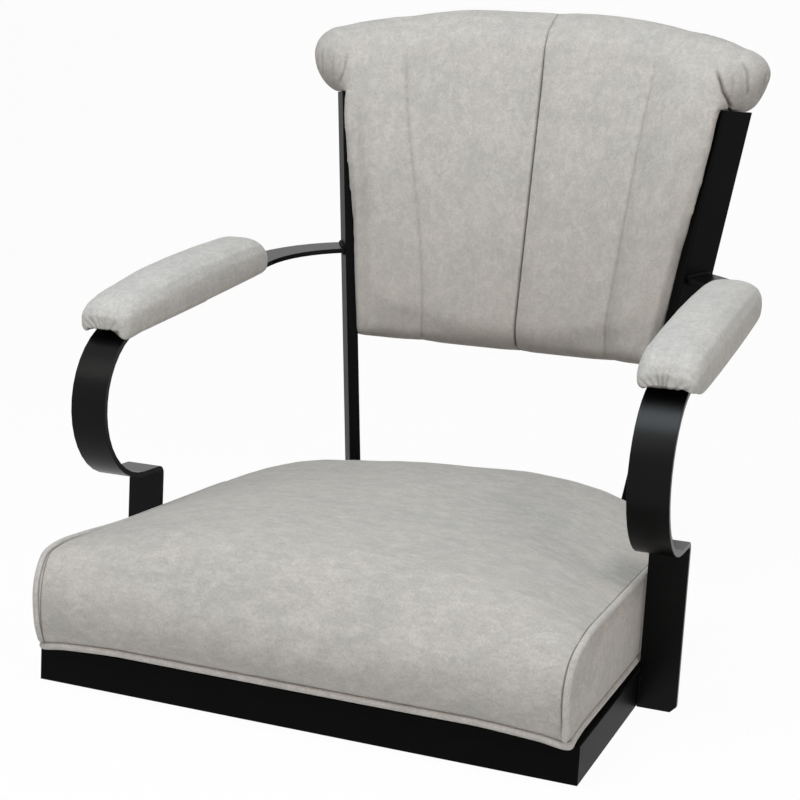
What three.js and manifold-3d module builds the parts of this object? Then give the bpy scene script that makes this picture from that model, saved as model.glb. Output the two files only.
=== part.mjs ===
// Seat head of a tall stool: cushioned seat, rolled back and padded arms on a swivelling steel frame.
// Millimetres, +Z up, the sitter faces -Y. The origin is on the swivel axis, under the frame.

import * as THREE from 'three';
import { mergeVertices } from 'three/addons/utils/BufferGeometryUtils.js';
import Module from 'manifold-3d';

const wasm = await Module();
wasm.setup();

// Fits and cuts
const clearance = 0.3;
const overrun = 40;

// Seat frame of angle section, slightly narrower at the rear and rounded at its rear corners
const seatWidth = 480;
const seatRearWidth = 472;
const seatDepth = 460;
const seatCornerRound = 80;
const railHeight = 32;
const railWall = 4;
const railFlange = 30;
const strapWidth = 40;
const strapThick = 5;

// Swivel between the frame and a leg frame
const plateWidth = 180;
const plateThick = 4;
const plateHolePitch = 150;
const plateHoleRadius = 4.2;
const bearingRadius = 56;
const bearingWidth = 16;
const pinRadius = 8;
const pinFlangeRadius = 14;
const pinFlangeThick = 3;
const lockNutWidth = 24;
const lockNutThick = 5;
const strapBoltRadius = 4;
const strapBoltPitch = 120;
const strapBoltHeadRadius = 7;
const strapBoltHeadThick = 3.6;
const strapNutWidth = 13;
const strapNutThick = 6;

// Seat board, cushion and piping
const boardThick = 8;
const boardRecess = 12;
const weltRadius = 3;
const weltCornerRadius = 6;
const weltSides = 8;
const cushionTopHeight = 118;
const cushionOverhang = 25;
const cushionRearRound = 62;
const cushionCornerRound = 80;
const cushionRearGap = 8;
const cushionCrown = 35;
const cushionSideBulge = 2.6;
const cushionTuckShare = 0.25;

// Arms of bent flat bar
const armWidth = 35;
const armThick = 5;
const postSetback = 198;
const postBendRadius = 6;
const shoulderHeight = 151.5;
const loopSetback = 166;
const loopRadius = 71.8;
const armSlope = THREE.MathUtils.degToRad(8.7);
const postChamfer = 4;

// Arm pads
const padSetback = 118;
const padLength = 288;
const padWidth = 58;
const padHeight = 36;
const padLip = 1;
const padBoardWidth = 44;
const padBoardThick = 8;
const padBoardMargin = 12;

// Back: two rectangular tubes joined by curved rails
const backLean = THREE.MathUtils.degToRad(7.5);
const backFlare = THREE.MathUtils.degToRad(7.5);
const backTurn = THREE.MathUtils.degToRad(30);
const backFootInset = 6.3;
const backFootHalfWidth = 140.5;
const tubeWidth = 44;
const tubeThick = 12;
const tubeWall = 1.6;
const tubeCornerRadius = 2.5;
const tubeTopDrop = 68;
const crossRailHeight = 30;
const crossRailThick = 5;
const lowerRailHeight = 272;
const upperRailDrop = 110;

// Back board, cushion with a rolled top, and outer panel
const backBoardThick = 10;
const backBoardBottom = 272;
const backPadBottom = 264;
const backPadRear = 12;
const backPadFrontLow = 20;
const backPadFrontHigh = 27;
const backPadBottomRound = 16;
const backPadSideGap = 15;
const backPadSideFlare = 6;
const channelPuffHeight = 4;
const rollHeight = 588;
const rollDrop = 24;
const rollSetback = 20;
const rollRadius = 46;
const rollTaper = 13;
const rollOverhang = 25;
const rollPuffHeight = 1.5;
const rollSeatGap = 6;
const outerPanelThick = 5;

// Screws: radius, head radius and head height
const screwRadius = 2.2;
const screwHeadRadius = 4.4;
const screwHeadThick = 2.4;
const screwBite = 7;
const screwSides = 12;
const seatScrewSetback = 20;
const padScrewInset = 60;
const backScrewTurn = THREE.MathUtils.degToRad(14);

// Places worked out from the sizes above
const frontY = -seatDepth / 2;
const rearY = seatDepth / 2;
const sideX = seatWidth / 2;
const sideTaper = (seatWidth - seatRearWidth) / (seatWidth * seatDepth);
const flangeUnderside = railHeight - railWall;
const strapTop = flangeUnderside - clearance;
const strapBottom = strapTop - strapThick;
const topPlateTop = strapBottom - clearance;
const topPlateBottom = topPlateTop - plateThick;
const boardBottom = railHeight + clearance;
const cushionBottom = boardBottom + boardThick + clearance;
const weltSeat = (weltRadius + clearance) * Math.SQRT2;
const cushionHalfWidth = sideX - weltRadius - clearance;
const cushionRear = rearY - cushionRearGap;
const tubeTopHeight = rollHeight - tubeTopDrop;
const upperRailHeight = rollHeight - upperRailDrop;
const armX = frameX(frontY + postSetback) + clearance + armWidth / 2;

// Share of the full width at a place along the depth; ahead of the frame it is tucked in further
function taperAt(y) {
  const tuck = cushionTuckShare * Math.max(frontY - y, 0) / sideX;
  return 1 - sideTaper * Math.max(y - frontY, 0) - tuck;
}

// Half width of the frame at a place along its depth, less an inset
function frameX(y, inset = 0) {
  return (sideX - inset) * taperAt(y);
}

// Even shares from zero to one
function stepShares(count) {
  return Array.from({ length: count + 1 }, (_, i) => i / count);
}

// Materials
function standard(color, roughness, metalness) {
  return new THREE.MeshStandardMaterial({ color, roughness, metalness });
}

const blackSteel = standard('#141414', 0.45, 0.6);
const zincSteel = standard('#a9abad', 0.35, 0.9);
const nylon = standard('#dcd9d0', 0.5, 0);
const plywood = standard('#b08a5a', 0.75, 0);
const velvet = standard('#b9b2aa', 0.95, 0);
const piping = standard('#c4beb6', 0.9, 0);

// Solids

function toSolid(geometry) {
  const merged = mergeVertices(withoutLooks(geometry), clearance / 1000);
  const mesh = new wasm.Mesh({
    numProp: 3,
    vertProperties: new Float32Array(merged.attributes.position.array),
    triVerts: new Uint32Array(merged.index.array),
  });
  return new wasm.Manifold(mesh);
}

function withoutLooks(geometry) {
  const bare = geometry.clone();
  bare.deleteAttribute('normal');
  bare.deleteAttribute('uv');
  return bare;
}

function toGeometry(solid) {
  const mesh = solid.getMesh();
  const geometry = new THREE.BufferGeometry();
  geometry.setAttribute('position', new THREE.BufferAttribute(new Float32Array(mesh.vertProperties), 3));
  geometry.setIndex(new THREE.BufferAttribute(new Uint32Array(mesh.triVerts), 1));
  return geometry;
}

function cut(geometry, tools) {
  const solid = tools.reduce((body, tool) => body.subtract(toSolid(tool)), toSolid(geometry));
  return toGeometry(solid);
}

function box(x0, x1, y0, y1, z0, z1) {
  const geometry = new THREE.BoxGeometry(x1 - x0, y1 - y0, z1 - z0);
  return geometry.translate((x0 + x1) / 2, (y0 + y1) / 2, (z0 + z1) / 2);
}

function cylinder(radius, z0, z1, sides = 24) {
  const geometry = new THREE.CylinderGeometry(radius, radius, z1 - z0, sides);
  return geometry.rotateX(Math.PI / 2).translate(0, 0, (z0 + z1) / 2);
}

// Flat plate from the right half of its plan, given from front to rear
function plate(rightHalf, z0, z1) {
  const leftHalf = rightHalf.map(([x, y]) => [-x, y]).reverse();
  const outline = new THREE.Shape([...rightHalf, ...leftHalf].map(([x, y]) => new THREE.Vector2(x, y)));
  return new THREE.ExtrudeGeometry(outline, { depth: z1 - z0, bevelEnabled: false }).translate(0, 0, z0);
}

// Turns the faces outwards if the enclosed volume comes out negative
function facingOut(geometry) {
  const at = geometry.attributes.position;
  const index = geometry.index.array;
  const corners = [new THREE.Vector3(), new THREE.Vector3(), new THREE.Vector3()];
  let volume = 0;
  for (let i = 0; i < index.length; i += 3) {
    corners.forEach((corner, k) => corner.fromBufferAttribute(at, index[i + k]));
    volume += corners[0].dot(corners[1].clone().cross(corners[2]));
  }
  if (volume < 0) {
    for (let i = 0; i < index.length; i += 3) {
      [index[i], index[i + 1]] = [index[i + 1], index[i]];
    }
  }
  return geometry;
}

// Closed body through rings of points, capped at its ends unless the rings loop
function loft(rings, loop = false) {
  const count = rings[0].length;
  const index = [];
  const spans = loop ? rings.length : rings.length - 1;
  for (let r = 0; r < spans; r++) {
    const here = r * count;
    const next = ((r + 1) % rings.length) * count;
    for (let i = 0; i < count; i++) {
      const j = (i + 1) % count;
      index.push(here + i, here + j, next + j, here + i, next + j, next + i);
    }
  }
  if (!loop) {
    const end = (rings.length - 1) * count;
    for (let i = 1; i < count - 1; i++) {
      index.push(0, i + 1, i, end, end + i, end + i + 1);
    }
  }
  const geometry = new THREE.BufferGeometry();
  const positions = new Float32Array(rings.flat().flatMap((point) => point.toArray()));
  geometry.setAttribute('position', new THREE.BufferAttribute(positions, 3));
  geometry.setIndex(index);
  return facingOut(geometry);
}

function flipped(ring) {
  return ring.map((point) => new THREE.Vector3(-point.x, point.y, point.z));
}

function mirrored(geometry) {
  const copy = geometry.clone().scale(-1, 1, 1);
  const plain = copy.index ? copy : mergeVertices(withoutLooks(copy));
  return facingOut(plain);
}

// Round tube along points in a plane
function tube(points, planeNormal, radius, loop) {
  const last = points.length - 1;
  const rings = points.map((point, i) => {
    const before = points[loop ? (i + last) % (last + 1) : Math.max(i - 1, 0)];
    const after = points[loop ? (i + 1) % (last + 1) : Math.min(i + 1, last)];
    const across = after.clone().sub(before).normalize().cross(planeNormal);
    return ringAround(point, across, planeNormal, radius, weltSides);
  });
  return loft(rings, loop);
}

function ringAround(centre, across, up, radius, sides) {
  return Array.from({ length: sides }, (_, k) => {
    const turn = (k / sides) * 2 * Math.PI;
    const out = across.clone().multiplyScalar(radius * Math.cos(turn));
    return centre.clone().add(out).addScaledVector(up, radius * Math.sin(turn));
  });
}

// Scene graph

const stool = new THREE.Group();
const slopeGroup = new THREE.Group();
const backGroup = new THREE.Group();
stool.add(slopeGroup, backGroup);

function add(name, geometry, material, parent = stool) {
  const mesh = new THREE.Mesh(geometry, material);
  mesh.name = name;
  parent.add(mesh);
  return mesh;
}

// Screws and bolts stand on z = 0, the plane under the head's bearing face, and point up

function screwProfile(length, countersunk, grow) {
  const shank = screwRadius + grow;
  const head = screwHeadRadius + grow;
  const tip = length - screwRadius;
  const points = countersunk
    ? [[0, -grow], [head, -grow], [shank, screwHeadThick + grow]]
    : [[0, -screwHeadThick - grow], [head, -screwHeadThick - grow], [head, -grow], [shank, -grow]];
  points.push([shank, tip + grow], [0, length + grow]);
  return points.map(([x, z]) => new THREE.Vector2(x, z));
}

function screwBody(length, countersunk = false, grow = 0) {
  const profile = screwProfile(length, countersunk, grow);
  return new THREE.LatheGeometry(profile, screwSides).rotateX(Math.PI / 2);
}

// Corner radius of a hexagon as a share of its width across flats
const hexCornerShare = 1 / Math.sqrt(3);

function nutBody(width, thick, hole, z0) {
  const nut = cylinder(width * hexCornerShare, z0, z0 + thick, 6);
  return cut(nut, [cylinder(hole, z0 - overrun, z0 + thick + overrun)]);
}

// Seat frame: four mitred angle rails

// Distance inwards and height of each corner of the section
const railSection = [
  [0, railHeight], [0, 0], [railWall, 0],
  [railWall, flangeUnderside], [railFlange, flangeUnderside], [railFlange, railHeight],
];

function frontCorner(inset) {
  return new THREE.Vector3(frameX(frontY + inset, inset), frontY + inset, 0);
}

function sideEnd(inset) {
  const y = rearY - seatCornerRound;
  return new THREE.Vector3(frameX(y, inset), y, 0);
}

function leftOf(corner) {
  return (inset) => corner(inset).multiply(new THREE.Vector3(-1, 1, 1));
}

// Rail between two corners, each given as its place at a distance inwards
function mitredRail(start, end) {
  const gap = end(0).sub(start(0)).setLength(clearance / 2);
  const rings = [[start, 1], [end, -1]].map(([corner, sign]) => (
    railSection.map(([inset, z]) => corner(inset).addScaledVector(gap, sign).setZ(z))
  ));
  return loft(rings);
}

// Rear rail, bent round both rear corners to meet the side rails
function bentRail() {
  const right = stepShares(6).map((share) => railSection.map(([inset, z]) => {
    const turn = share * Math.PI / 2;
    const radius = seatCornerRound - inset;
    const gap = share === 0 ? clearance / 2 : 0;
    const y = rearY - seatCornerRound + radius * Math.sin(turn) + gap;
    const x = sideX - seatCornerRound + radius * Math.cos(turn);
    return new THREE.Vector3(x * taperAt(y), y, z);
  }));
  const left = right.map(flipped).reverse();
  return loft([...right, ...left]);
}

// Set back from the side rails' rear ends, and as far ahead of the swivel axis
function seatScrewPlaces() {
  const rear = rearY - seatCornerRound - seatScrewSetback;
  return [['front', -rear], ['rear', rear]].flatMap(([row, y]) => {
    const x = frameX(y, (railWall + railFlange) / 2);
    return [[`${row}_left`, -x, y], [`${row}_right`, x, y]];
  });
}

function screwsAt(places, z, length, grow = 0) {
  return places.map(([, x, y]) => screwBody(length, false, grow).translate(x, y, z));
}

function addSeatFrame() {
  const holes = screwsAt(seatScrewPlaces(), flangeUnderside, screwBite + railWall, clearance);
  const side = cut(mitredRail(frontCorner, sideEnd), holes);
  add('front_rail', mitredRail(leftOf(frontCorner), frontCorner), blackSteel);
  add('rear_rail', bentRail(), blackSteel);
  add('right_side_rail', side, blackSteel);
  add('left_side_rail', mirrored(side), blackSteel);
}

function addStraps() {
  for (const [row, y] of [['front', -strapBoltPitch / 2], ['rear', strapBoltPitch / 2]]) {
    const edges = [y - strapWidth / 2, y + strapWidth / 2];
    const ends = edges.map((edge) => [frameX(edge, railWall + clearance), edge]);
    const strap = plate(ends, strapBottom, strapTop);
    const hole = cylinder(strapBoltRadius + clearance, strapBottom - overrun, strapTop + overrun);
    const holes = [-1, 1].map((side) => hole.clone().translate(side * strapBoltPitch / 2, y, 0));
    add(`${row}_cross_strap`, cut(strap, holes), blackSteel);
  }
}

// Swivel

function squareOf(pitch) {
  const half = pitch / 2;
  return [['front_left', -half, -half], ['front_right', half, -half],
    ['rear_left', -half, half], ['rear_right', half, half]];
}

function plateWithHoles(z0, pitch, radius) {
  const half = plateWidth / 2;
  const square = box(-half, half, -half, half, z0, z0 + plateThick);
  const holes = squareOf(pitch).map(([, x, y]) => (
    cylinder(radius, z0 - overrun, z0 + plateThick + overrun).translate(x, y, 0)
  ));
  return cut(square, holes);
}

function addSwivel() {
  const bearingTop = topPlateBottom - clearance;
  const bearingBottom = plateThick + clearance;
  add('swivel_base_plate', plateWithHoles(0, plateHolePitch, plateHoleRadius), zincSteel);

  const ring = cylinder(bearingRadius, bearingBottom, bearingTop, 48);
  const bore = cylinder(bearingRadius - bearingWidth, bearingBottom - overrun, bearingTop + overrun, 48);
  add('swivel_bearing_ring', cut(ring, [bore]), nylon);

  const topPlate = plateWithHoles(topPlateBottom, strapBoltPitch, strapBoltRadius + clearance);
  const pinHole = cylinder(pinRadius + clearance, topPlateBottom - overrun, topPlateTop + overrun);
  add('swivel_top_plate', cut(topPlate, [pinHole]), zincSteel);

  const nutBottom = topPlateTop + clearance;
  const pinTop = nutBottom + lockNutThick;
  const flange = bearingBottom + pinFlangeThick;
  const pin = [[0, bearingBottom], [pinFlangeRadius, bearingBottom], [pinFlangeRadius, flange],
    [pinRadius, flange], [pinRadius, pinTop], [0, pinTop]];
  const pinProfile = pin.map(([x, z]) => new THREE.Vector2(x, z));
  add('swivel_pin', new THREE.LatheGeometry(pinProfile, 24).rotateX(Math.PI / 2), zincSteel);
  const lockNut = nutBody(lockNutWidth, lockNutThick, pinRadius + clearance, nutBottom);
  add('swivel_lock_nut', lockNut, zincSteel);

  squareOf(strapBoltPitch).forEach(([place, x, y]) => addStrapBolt(place, x, y));
}

const boltRimShare = 0.7;

function addStrapBolt(place, x, y) {
  const headBottom = strapTop + clearance;
  const nutTop = topPlateBottom - clearance;
  const nutBottom = nutTop - strapNutThick;
  const headTop = headBottom + strapBoltHeadThick;
  const rim = strapBoltHeadRadius * boltRimShare;
  const bolt = [[0, nutBottom], [strapBoltRadius, nutBottom], [strapBoltRadius, headBottom],
    [strapBoltHeadRadius, headBottom], [rim, headTop], [0, headTop]];
  const profile = bolt.map(([radius, z]) => new THREE.Vector2(radius, z));
  const body = new THREE.LatheGeometry(profile, screwSides).rotateX(Math.PI / 2).translate(x, y, 0);
  const nut = nutBody(strapNutWidth, strapNutThick, strapBoltRadius + clearance, nutBottom);
  add(`swivel_bolt_${place}`, body, zincSteel);
  add(`swivel_nut_${place}`, nut.translate(x, y, 0), zincSteel);
}

// Seat board and its screws

function addSeatBoard() {
  const rounding = cushionCornerRound - boardRecess;
  const centreX = cushionHalfWidth - cushionCornerRound;
  const centreY = cushionRear - cushionCornerRound;
  const corner = stepShares(6).map((share) => {
    const turn = share * Math.PI / 2;
    return [centreX + rounding * Math.cos(turn), centreY + rounding * Math.sin(turn)];
  });
  const half = [[cushionHalfWidth - boardRecess, frontY + boardRecess], ...corner];
  const board = plate(half.map(([x, y]) => [x * taperAt(y), y]), boardBottom, boardBottom + boardThick);
  const length = screwBite + railWall;
  const pilots = screwsAt(seatScrewPlaces(), flangeUnderside, length, clearance);
  add('seat_board', cut(board, pilots), plywood);
  const bodies = screwsAt(seatScrewPlaces(), flangeUnderside - clearance, length);
  seatScrewPlaces().forEach(([place], i) => add(`seat_screw_${place}`, bodies[i], zincSteel));
}

// Seat cushion: one outline from front to rear, lofted across, crowned and fitted to the seat's plan

// Shares of the overhang, then of the side's height
const cushionFrontShares = [
  [-0.5, 0], [-0.86, 0.21], [-1, 0.44], [-0.86, 0.68], [-0.43, 0.87], [0.29, 0.97], [1.4, 1],
];
// Shares of the rear rounding, then of the side's height
const cushionRearShares = [[1, 1], [0.4, 0.88], [0.07, 0.58], [-0.02, 0.28], [0, 0]];
const cushionSidePanelShare = 0.55;
const cushionEaseShare = 0.2;
const cushionBlendShare = 2.5;
const crownAcrossPower = 2.8;
const crownAlongPower = 8;
const easePower = 4;

function cushionOutline() {
  const height = cushionTopHeight - cushionBottom;
  const front = cushionFrontShares.map(([out, up]) => (
    new THREE.Vector2(frontY + out * cushionOverhang, cushionBottom + up * height)
  ));
  const back = cushionRearShares.map(([round, up]) => (
    new THREE.Vector2(cushionRear - round * cushionRearRound, cushionBottom + up * height)
  ));
  const frontCurve = new THREE.SplineCurve(front).getPoints(12);
  const backCurve = new THREE.SplineCurve(back).getPoints(9);
  const top = stepShares(4).slice(1, -1).map((share) => front.at(-1).clone().lerp(back[0], share));
  return [...frontCurve, ...top, ...backCurve];
}

// Distances from the middle of the seat to the cushion's sections
function cushionSections() {
  const flat = cushionHalfWidth - weltSeat - cushionCornerRound;
  const steps = stepShares(4).slice(1);
  const corner = steps.map((share) => flat + cushionCornerRound * Math.sin(share * Math.PI / 2));
  return [...steps.map((share) => share * flat), ...corner];
}

// Draws a straight-sided body in to the seat's plan: eased front, tapered sides, rounded rear corners
function toSeatPlan(geometry) {
  const at = geometry.attributes.position;
  const flat = cushionHalfWidth - weltSeat - cushionCornerRound;
  const blendStart = cushionRear - cushionBlendShare * cushionCornerRound;
  for (let i = 0; i < at.count; i++) {
    const x = at.getX(i);
    const across = Math.min(Math.abs(x) / cushionHalfWidth, 1);
    const inCorner = THREE.MathUtils.clamp(Math.abs(x) - flat, 0, cushionCornerRound);
    const shift = cushionCornerRound - Math.sqrt(cushionCornerRound ** 2 - inCorner ** 2);
    const blend = THREE.MathUtils.smoothstep(at.getY(i), blendStart, cushionRear - weltSeat);
    const ahead = Math.max(frontY - at.getY(i), 0);
    const y = at.getY(i) - shift * blend + ahead * cushionEaseShare * across ** easePower;
    at.setXY(i, x * taperAt(y), y);
  }
  return geometry;
}

// Moves each point of an open outline inwards by a distance; the ends slide along the flat bottom
function insetOutline(outline, distance, lift) {
  return outline.map((point, i) => {
    const before = outline[Math.max(i - 1, 0)];
    const after = outline[Math.min(i + 1, outline.length - 1)];
    const along = after.clone().sub(before).normalize();
    const moved = new THREE.Vector2(point.x + along.y * distance, point.y - along.x * distance);
    moved.y = Math.max(moved.y, cushionBottom + lift);
    return moved;
  });
}

// Cuts the sharp bottom corners back so that the piping fits under them
function withPipingSeat(outline) {
  const first = outline[0];
  const last = outline.at(-1);
  const inner = outline.slice(1, -1).filter((point) => point.y > cushionBottom + weltSeat);
  const moved = (point, x, y) => new THREE.Vector2(point.x + x, point.y + y);
  const start = [moved(first, weltSeat, 0), moved(first, 0, weltSeat)];
  const end = [moved(last, 0, weltSeat), moved(last, -weltSeat, 0)];
  return [...start, ...inner, ...end];
}

function crownAt(x, y) {
  const across = Math.min(Math.abs(x) / (cushionHalfWidth - weltSeat), 1);
  const middle = (frontY + cushionRear) / 2;
  const reach = (seatDepth + cushionOverhang) / 2;
  const along = Math.min(Math.abs(y - middle) / reach, 1);
  return cushionCrown * (1 - across ** crownAcrossPower) * (1 - along ** crownAlongPower);
}

function addSeatCushion() {
  const outline = cushionOutline();
  const seated = withPipingSeat(outline);
  const height = cushionTopHeight - cushionBottom;
  const fullRing = (x) => seated.map((point) => {
    const up = Math.max(point.y - cushionBottom, 0) / height;
    return new THREE.Vector3(x, point.x, point.y + up ** 2 * crownAt(x, point.x));
  });
  const edge = insetOutline(seated, weltSeat, weltSeat);
  const centre = new THREE.Vector2(0, cushionBottom + height / 2);
  const edgeRing = (x, shrink) => edge.map((point) => {
    const moved = centre.clone().lerp(point, shrink);
    return new THREE.Vector3(x, moved.x, moved.y);
  });
  const bulged = cushionHalfWidth + cushionSideBulge;
  const half = [
    ...cushionSections().map(fullRing),
    edgeRing(cushionHalfWidth, 1),
    edgeRing(bulged, (1 + cushionSidePanelShare) / 2),
    edgeRing(bulged, cushionSidePanelShare / 2),
  ];
  const rings = [...half.slice().reverse().map(flipped), fullRing(0), ...half];
  add('seat_cushion', toSeatPlan(loft(rings)), velvet);
  addSidePiping(outline);
  addBottomPiping(outline);
}

function addSidePiping(outline) {
  const alongX = new THREE.Vector3(1, 0, 0);
  const clear = outline.filter((point) => point.y > cushionBottom + 2 * weltRadius + clearance);
  const rise = clear.map((point) => new THREE.Vector3(cushionHalfWidth, point.x, point.y));
  const side = toSeatPlan(tube(rise, alongX, weltRadius, false));
  add('right_side_piping', side, piping);
  add('left_side_piping', mirrored(side), piping);
}

// Runs along one side, across the front and back along the other side
function addBottomPiping(outline) {
  const front = outline[0].x;
  const inner = cushionHalfWidth - weltCornerRadius;
  const place = (x, y) => new THREE.Vector3(x, y, cushionBottom);
  const corner = stepShares(3).map((share) => {
    const turn = share * Math.PI / 2;
    const x = inner + weltCornerRadius * Math.cos(turn);
    return place(x, front + weltCornerRadius * (1 - Math.sin(turn)));
  });
  const sections = cushionSections().filter((x) => x < inner).reverse().map((x) => place(x, front));
  const right = [place(cushionHalfWidth, cushionRear - weltSeat), ...corner, ...sections];
  const left = right.map((point) => place(-point.x, point.y)).reverse();
  const path = [...right, place(0, front), ...left];
  const body = tube(path, new THREE.Vector3(0, 0, 1), weltRadius, false);
  add('bottom_piping', toSeatPlan(body), piping);
}

// Back tubes, leaning back, flared outwards and turned to follow the curve of the back

const backOrigin = new THREE.Vector3(0, rearY - backFootInset, 0);
backGroup.position.copy(backOrigin);
backGroup.rotation.x = -backLean;
backGroup.updateMatrixWorld(true);

// Axes of the right tube: out through its wide outer face, across its width to the rear, and up along it
function tubeFrame() {
  const up = new THREE.Vector3(Math.sin(backFlare), 0, Math.cos(backFlare));
  const across = new THREE.Vector3(Math.sin(backTurn), Math.cos(backTurn), 0);
  across.addScaledVector(up, -across.dot(up)).normalize();
  const out = across.clone().cross(up);
  const frame = new THREE.Matrix4().makeBasis(out, across, up);
  return frame.setPosition(backFootHalfWidth, 0, 0);
}

const tubeInBack = tubeFrame();
const tubeInStool = backGroup.matrixWorld.clone().multiply(tubeInBack);

function roundedRectangle(x0, x1, y0, y1, radius) {
  const shape = new THREE.Shape();
  shape.moveTo(x0 + radius, y0);
  shape.lineTo(x1 - radius, y0);
  shape.absarc(x1 - radius, y0 + radius, radius, -Math.PI / 2, 0, false);
  shape.lineTo(x1, y1 - radius);
  shape.absarc(x1 - radius, y1 - radius, radius, 0, Math.PI / 2, false);
  shape.lineTo(x0 + radius, y1);
  shape.absarc(x0 + radius, y1 - radius, radius, Math.PI / 2, Math.PI, false);
  shape.lineTo(x0, y0 + radius);
  shape.absarc(x0 + radius, y0 + radius, radius, Math.PI, 1.5 * Math.PI, false);
  return shape;
}

function addBackTubes() {
  const section = roundedRectangle(-tubeThick, 0, 0, tubeWidth, tubeCornerRadius);
  const inner = tubeCornerRadius - tubeWall;
  section.holes.push(
    roundedRectangle(-tubeThick + tubeWall, -tubeWall, tubeWall, tubeWidth - tubeWall, inner),
  );
  const depth = tubeTopHeight + 2 * overrun;
  const tubeBody = new THREE.ExtrudeGeometry(section, { depth, bevelEnabled: false, curveSegments: 3 });
  tubeBody.translate(0, 0, -overrun).applyMatrix4(tubeInStool);
  const wide = seatWidth;
  const ground = box(-wide, wide, -wide, wide, -2 * overrun, 0);
  const above = box(-wide, wide, -wide, wide, tubeTopHeight, tubeTopHeight + 3 * overrun);
  const behindRail = box(-wide, wide, 0, rearY + clearance, -overrun, railHeight + clearance);
  const trimmed = cut(tubeBody, [ground, above, behindRail]);
  add('right_back_tube', trimmed, blackSteel);
  add('left_back_tube', mirrored(trimmed), blackSteel);
}

// Point of the curved back: share of its half width, height, and depth behind the tubes' front edges
function backPoint(share, height, depth, outward = 0) {
  const halfWidth = backFootHalfWidth + height * Math.tan(backFlare);
  const radius = halfWidth / Math.sin(backTurn);
  const angle = share * (backTurn + outward / radius);
  const x = (radius + depth) * Math.sin(angle);
  const y = (radius + depth) * Math.cos(angle) - radius * Math.cos(backTurn);
  return new THREE.Vector3(x, y, height);
}

// Even steps between the given shares, mirrored to the other side
function sharesThrough(stops, steps) {
  const right = [];
  for (let i = 0; i < stops.length - 1; i++) {
    for (let k = 1; k <= steps[i]; k++) {
      right.push(stops[i] + (stops[i + 1] - stops[i]) * (k / steps[i]));
    }
  }
  return [...right.map((share) => -share).reverse(), 0, ...right];
}

const sheetSteps = 8;

// Curved bar or sheet between two depths, its top following a height given for each share
function curvedSheet(bottom, topAt, depth0, depth1, outward) {
  const rings = sharesThrough([0, 1], [sheetSteps]).map((share) => [
    backPoint(share, bottom, depth0, outward),
    backPoint(share, topAt(share), depth0, outward),
    backPoint(share, topAt(share), depth1, outward),
    backPoint(share, bottom, depth1, outward),
  ]);
  return loft(rings);
}

const backBoardFront = backPadRear + clearance;
const crossRailFront = backBoardFront + backBoardThick + clearance;
const crossRailRear = crossRailFront + crossRailThick;
const outerPanelFront = crossRailRear + clearance;

function rollCentreHeight(share) {
  return rollHeight - rollDrop * share ** 2;
}

function rollRadiusAt(share) {
  return rollRadius - rollTaper * share ** 2;
}

const underRoll = (share) => rollCentreHeight(share) - rollRadiusAt(share) - rollSeatGap;

// A matrix for each screw that holds the board, pointing forwards from the rail's rear face
function backScrewPlaces() {
  const rows = [['lower', lowerRailHeight], ['upper', upperRailHeight]];
  return rows.flatMap(([row, bottom]) => [['left', -1], ['right', 1]].map(([side, sign]) => {
    const height = bottom + crossRailHeight / 2;
    const share = sign * backScrewTurn / backTurn;
    const place = backPoint(share, height, crossRailRear);
    const ahead = place.clone().sub(backPoint(share, height, crossRailRear + overrun)).normalize();
    const turn = new THREE.Quaternion().setFromUnitVectors(new THREE.Vector3(0, 0, 1), ahead);
    const matrix = new THREE.Matrix4().makeRotationFromQuaternion(turn).setPosition(place);
    return [`back_screw_${row}_${side}`, matrix];
  }));
}

function addBackRails() {
  const inside = -tubeThick - clearance;
  const beside = box(inside, overrun, -overrun, tubeWidth + overrun, -overrun, 2 * tubeTopHeight);
  const rightTrim = beside.applyMatrix4(tubeInBack);
  const leftTrim = mirrored(rightTrim);
  const holes = backScrewPlaces().map(([, matrix]) => (
    screwBody(crossRailThick + screwBite, true, clearance).applyMatrix4(matrix)
  ));
  for (const [name, bottom] of [['lower', lowerRailHeight], ['upper', upperRailHeight]]) {
    const topAt = () => bottom + crossRailHeight;
    const bar = curvedSheet(bottom, topAt, crossRailFront, crossRailRear, tubeThick);
    add(`${name}_back_rail`, cut(bar, [rightTrim, leftTrim, ...holes]), blackSteel, backGroup);
  }
}

function addBackBoards() {
  const between = -(tubeThick + backPadSideGap / 2);
  const boardEnd = backBoardFront + backBoardThick;
  const board = curvedSheet(backBoardBottom, underRoll, backBoardFront, boardEnd, between);
  const length = crossRailThick + screwBite;
  const holes = backScrewPlaces().map(([, matrix]) => (
    screwBody(length, true, clearance).applyMatrix4(matrix)
  ));
  add('back_board', cut(board, holes), plywood, backGroup);
  const panelEnd = outerPanelFront + outerPanelThick;
  const panel = curvedSheet(backPadBottom, underRoll, outerPanelFront, panelEnd, between);
  add('back_outer_panel', panel, velvet, backGroup);
  for (const [name, matrix] of backScrewPlaces()) {
    add(name, screwBody(length, true).applyMatrix4(matrix), zincSteel, backGroup);
  }
}

// Back cushion: a fluted pad that runs up into a roll over the tubes

const channelShare = 0.68;
const channelSteps = [7, 4];
const padSideRoundShares = [1, 1, 0.96, 0.84, 0.55];
// Shares up the front face, of the side edge's flare and of the way from the pad's face to the roll's
const padFaceShares = [
  [0.1, 0, 0], [0.3, 0.1, 0], [0.5, 0.25, 0], [0.68, 0.45, 0], [0.84, 0.75, 0.3], [1, 1, 1],
];

// Fullness of the channels: none on a seam and one in the middle between two seams
function fluteAt(share) {
  const stops = [-1, -channelShare, 0, channelShare, 1];
  const i = Math.max(stops.findIndex((stop) => share < stop), 1);
  const along = (share - stops[i - 1]) / (stops[i] - stops[i - 1]);
  return Math.sqrt(Math.max(Math.sin(Math.PI * Math.min(along, 1)), 0));
}

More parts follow.
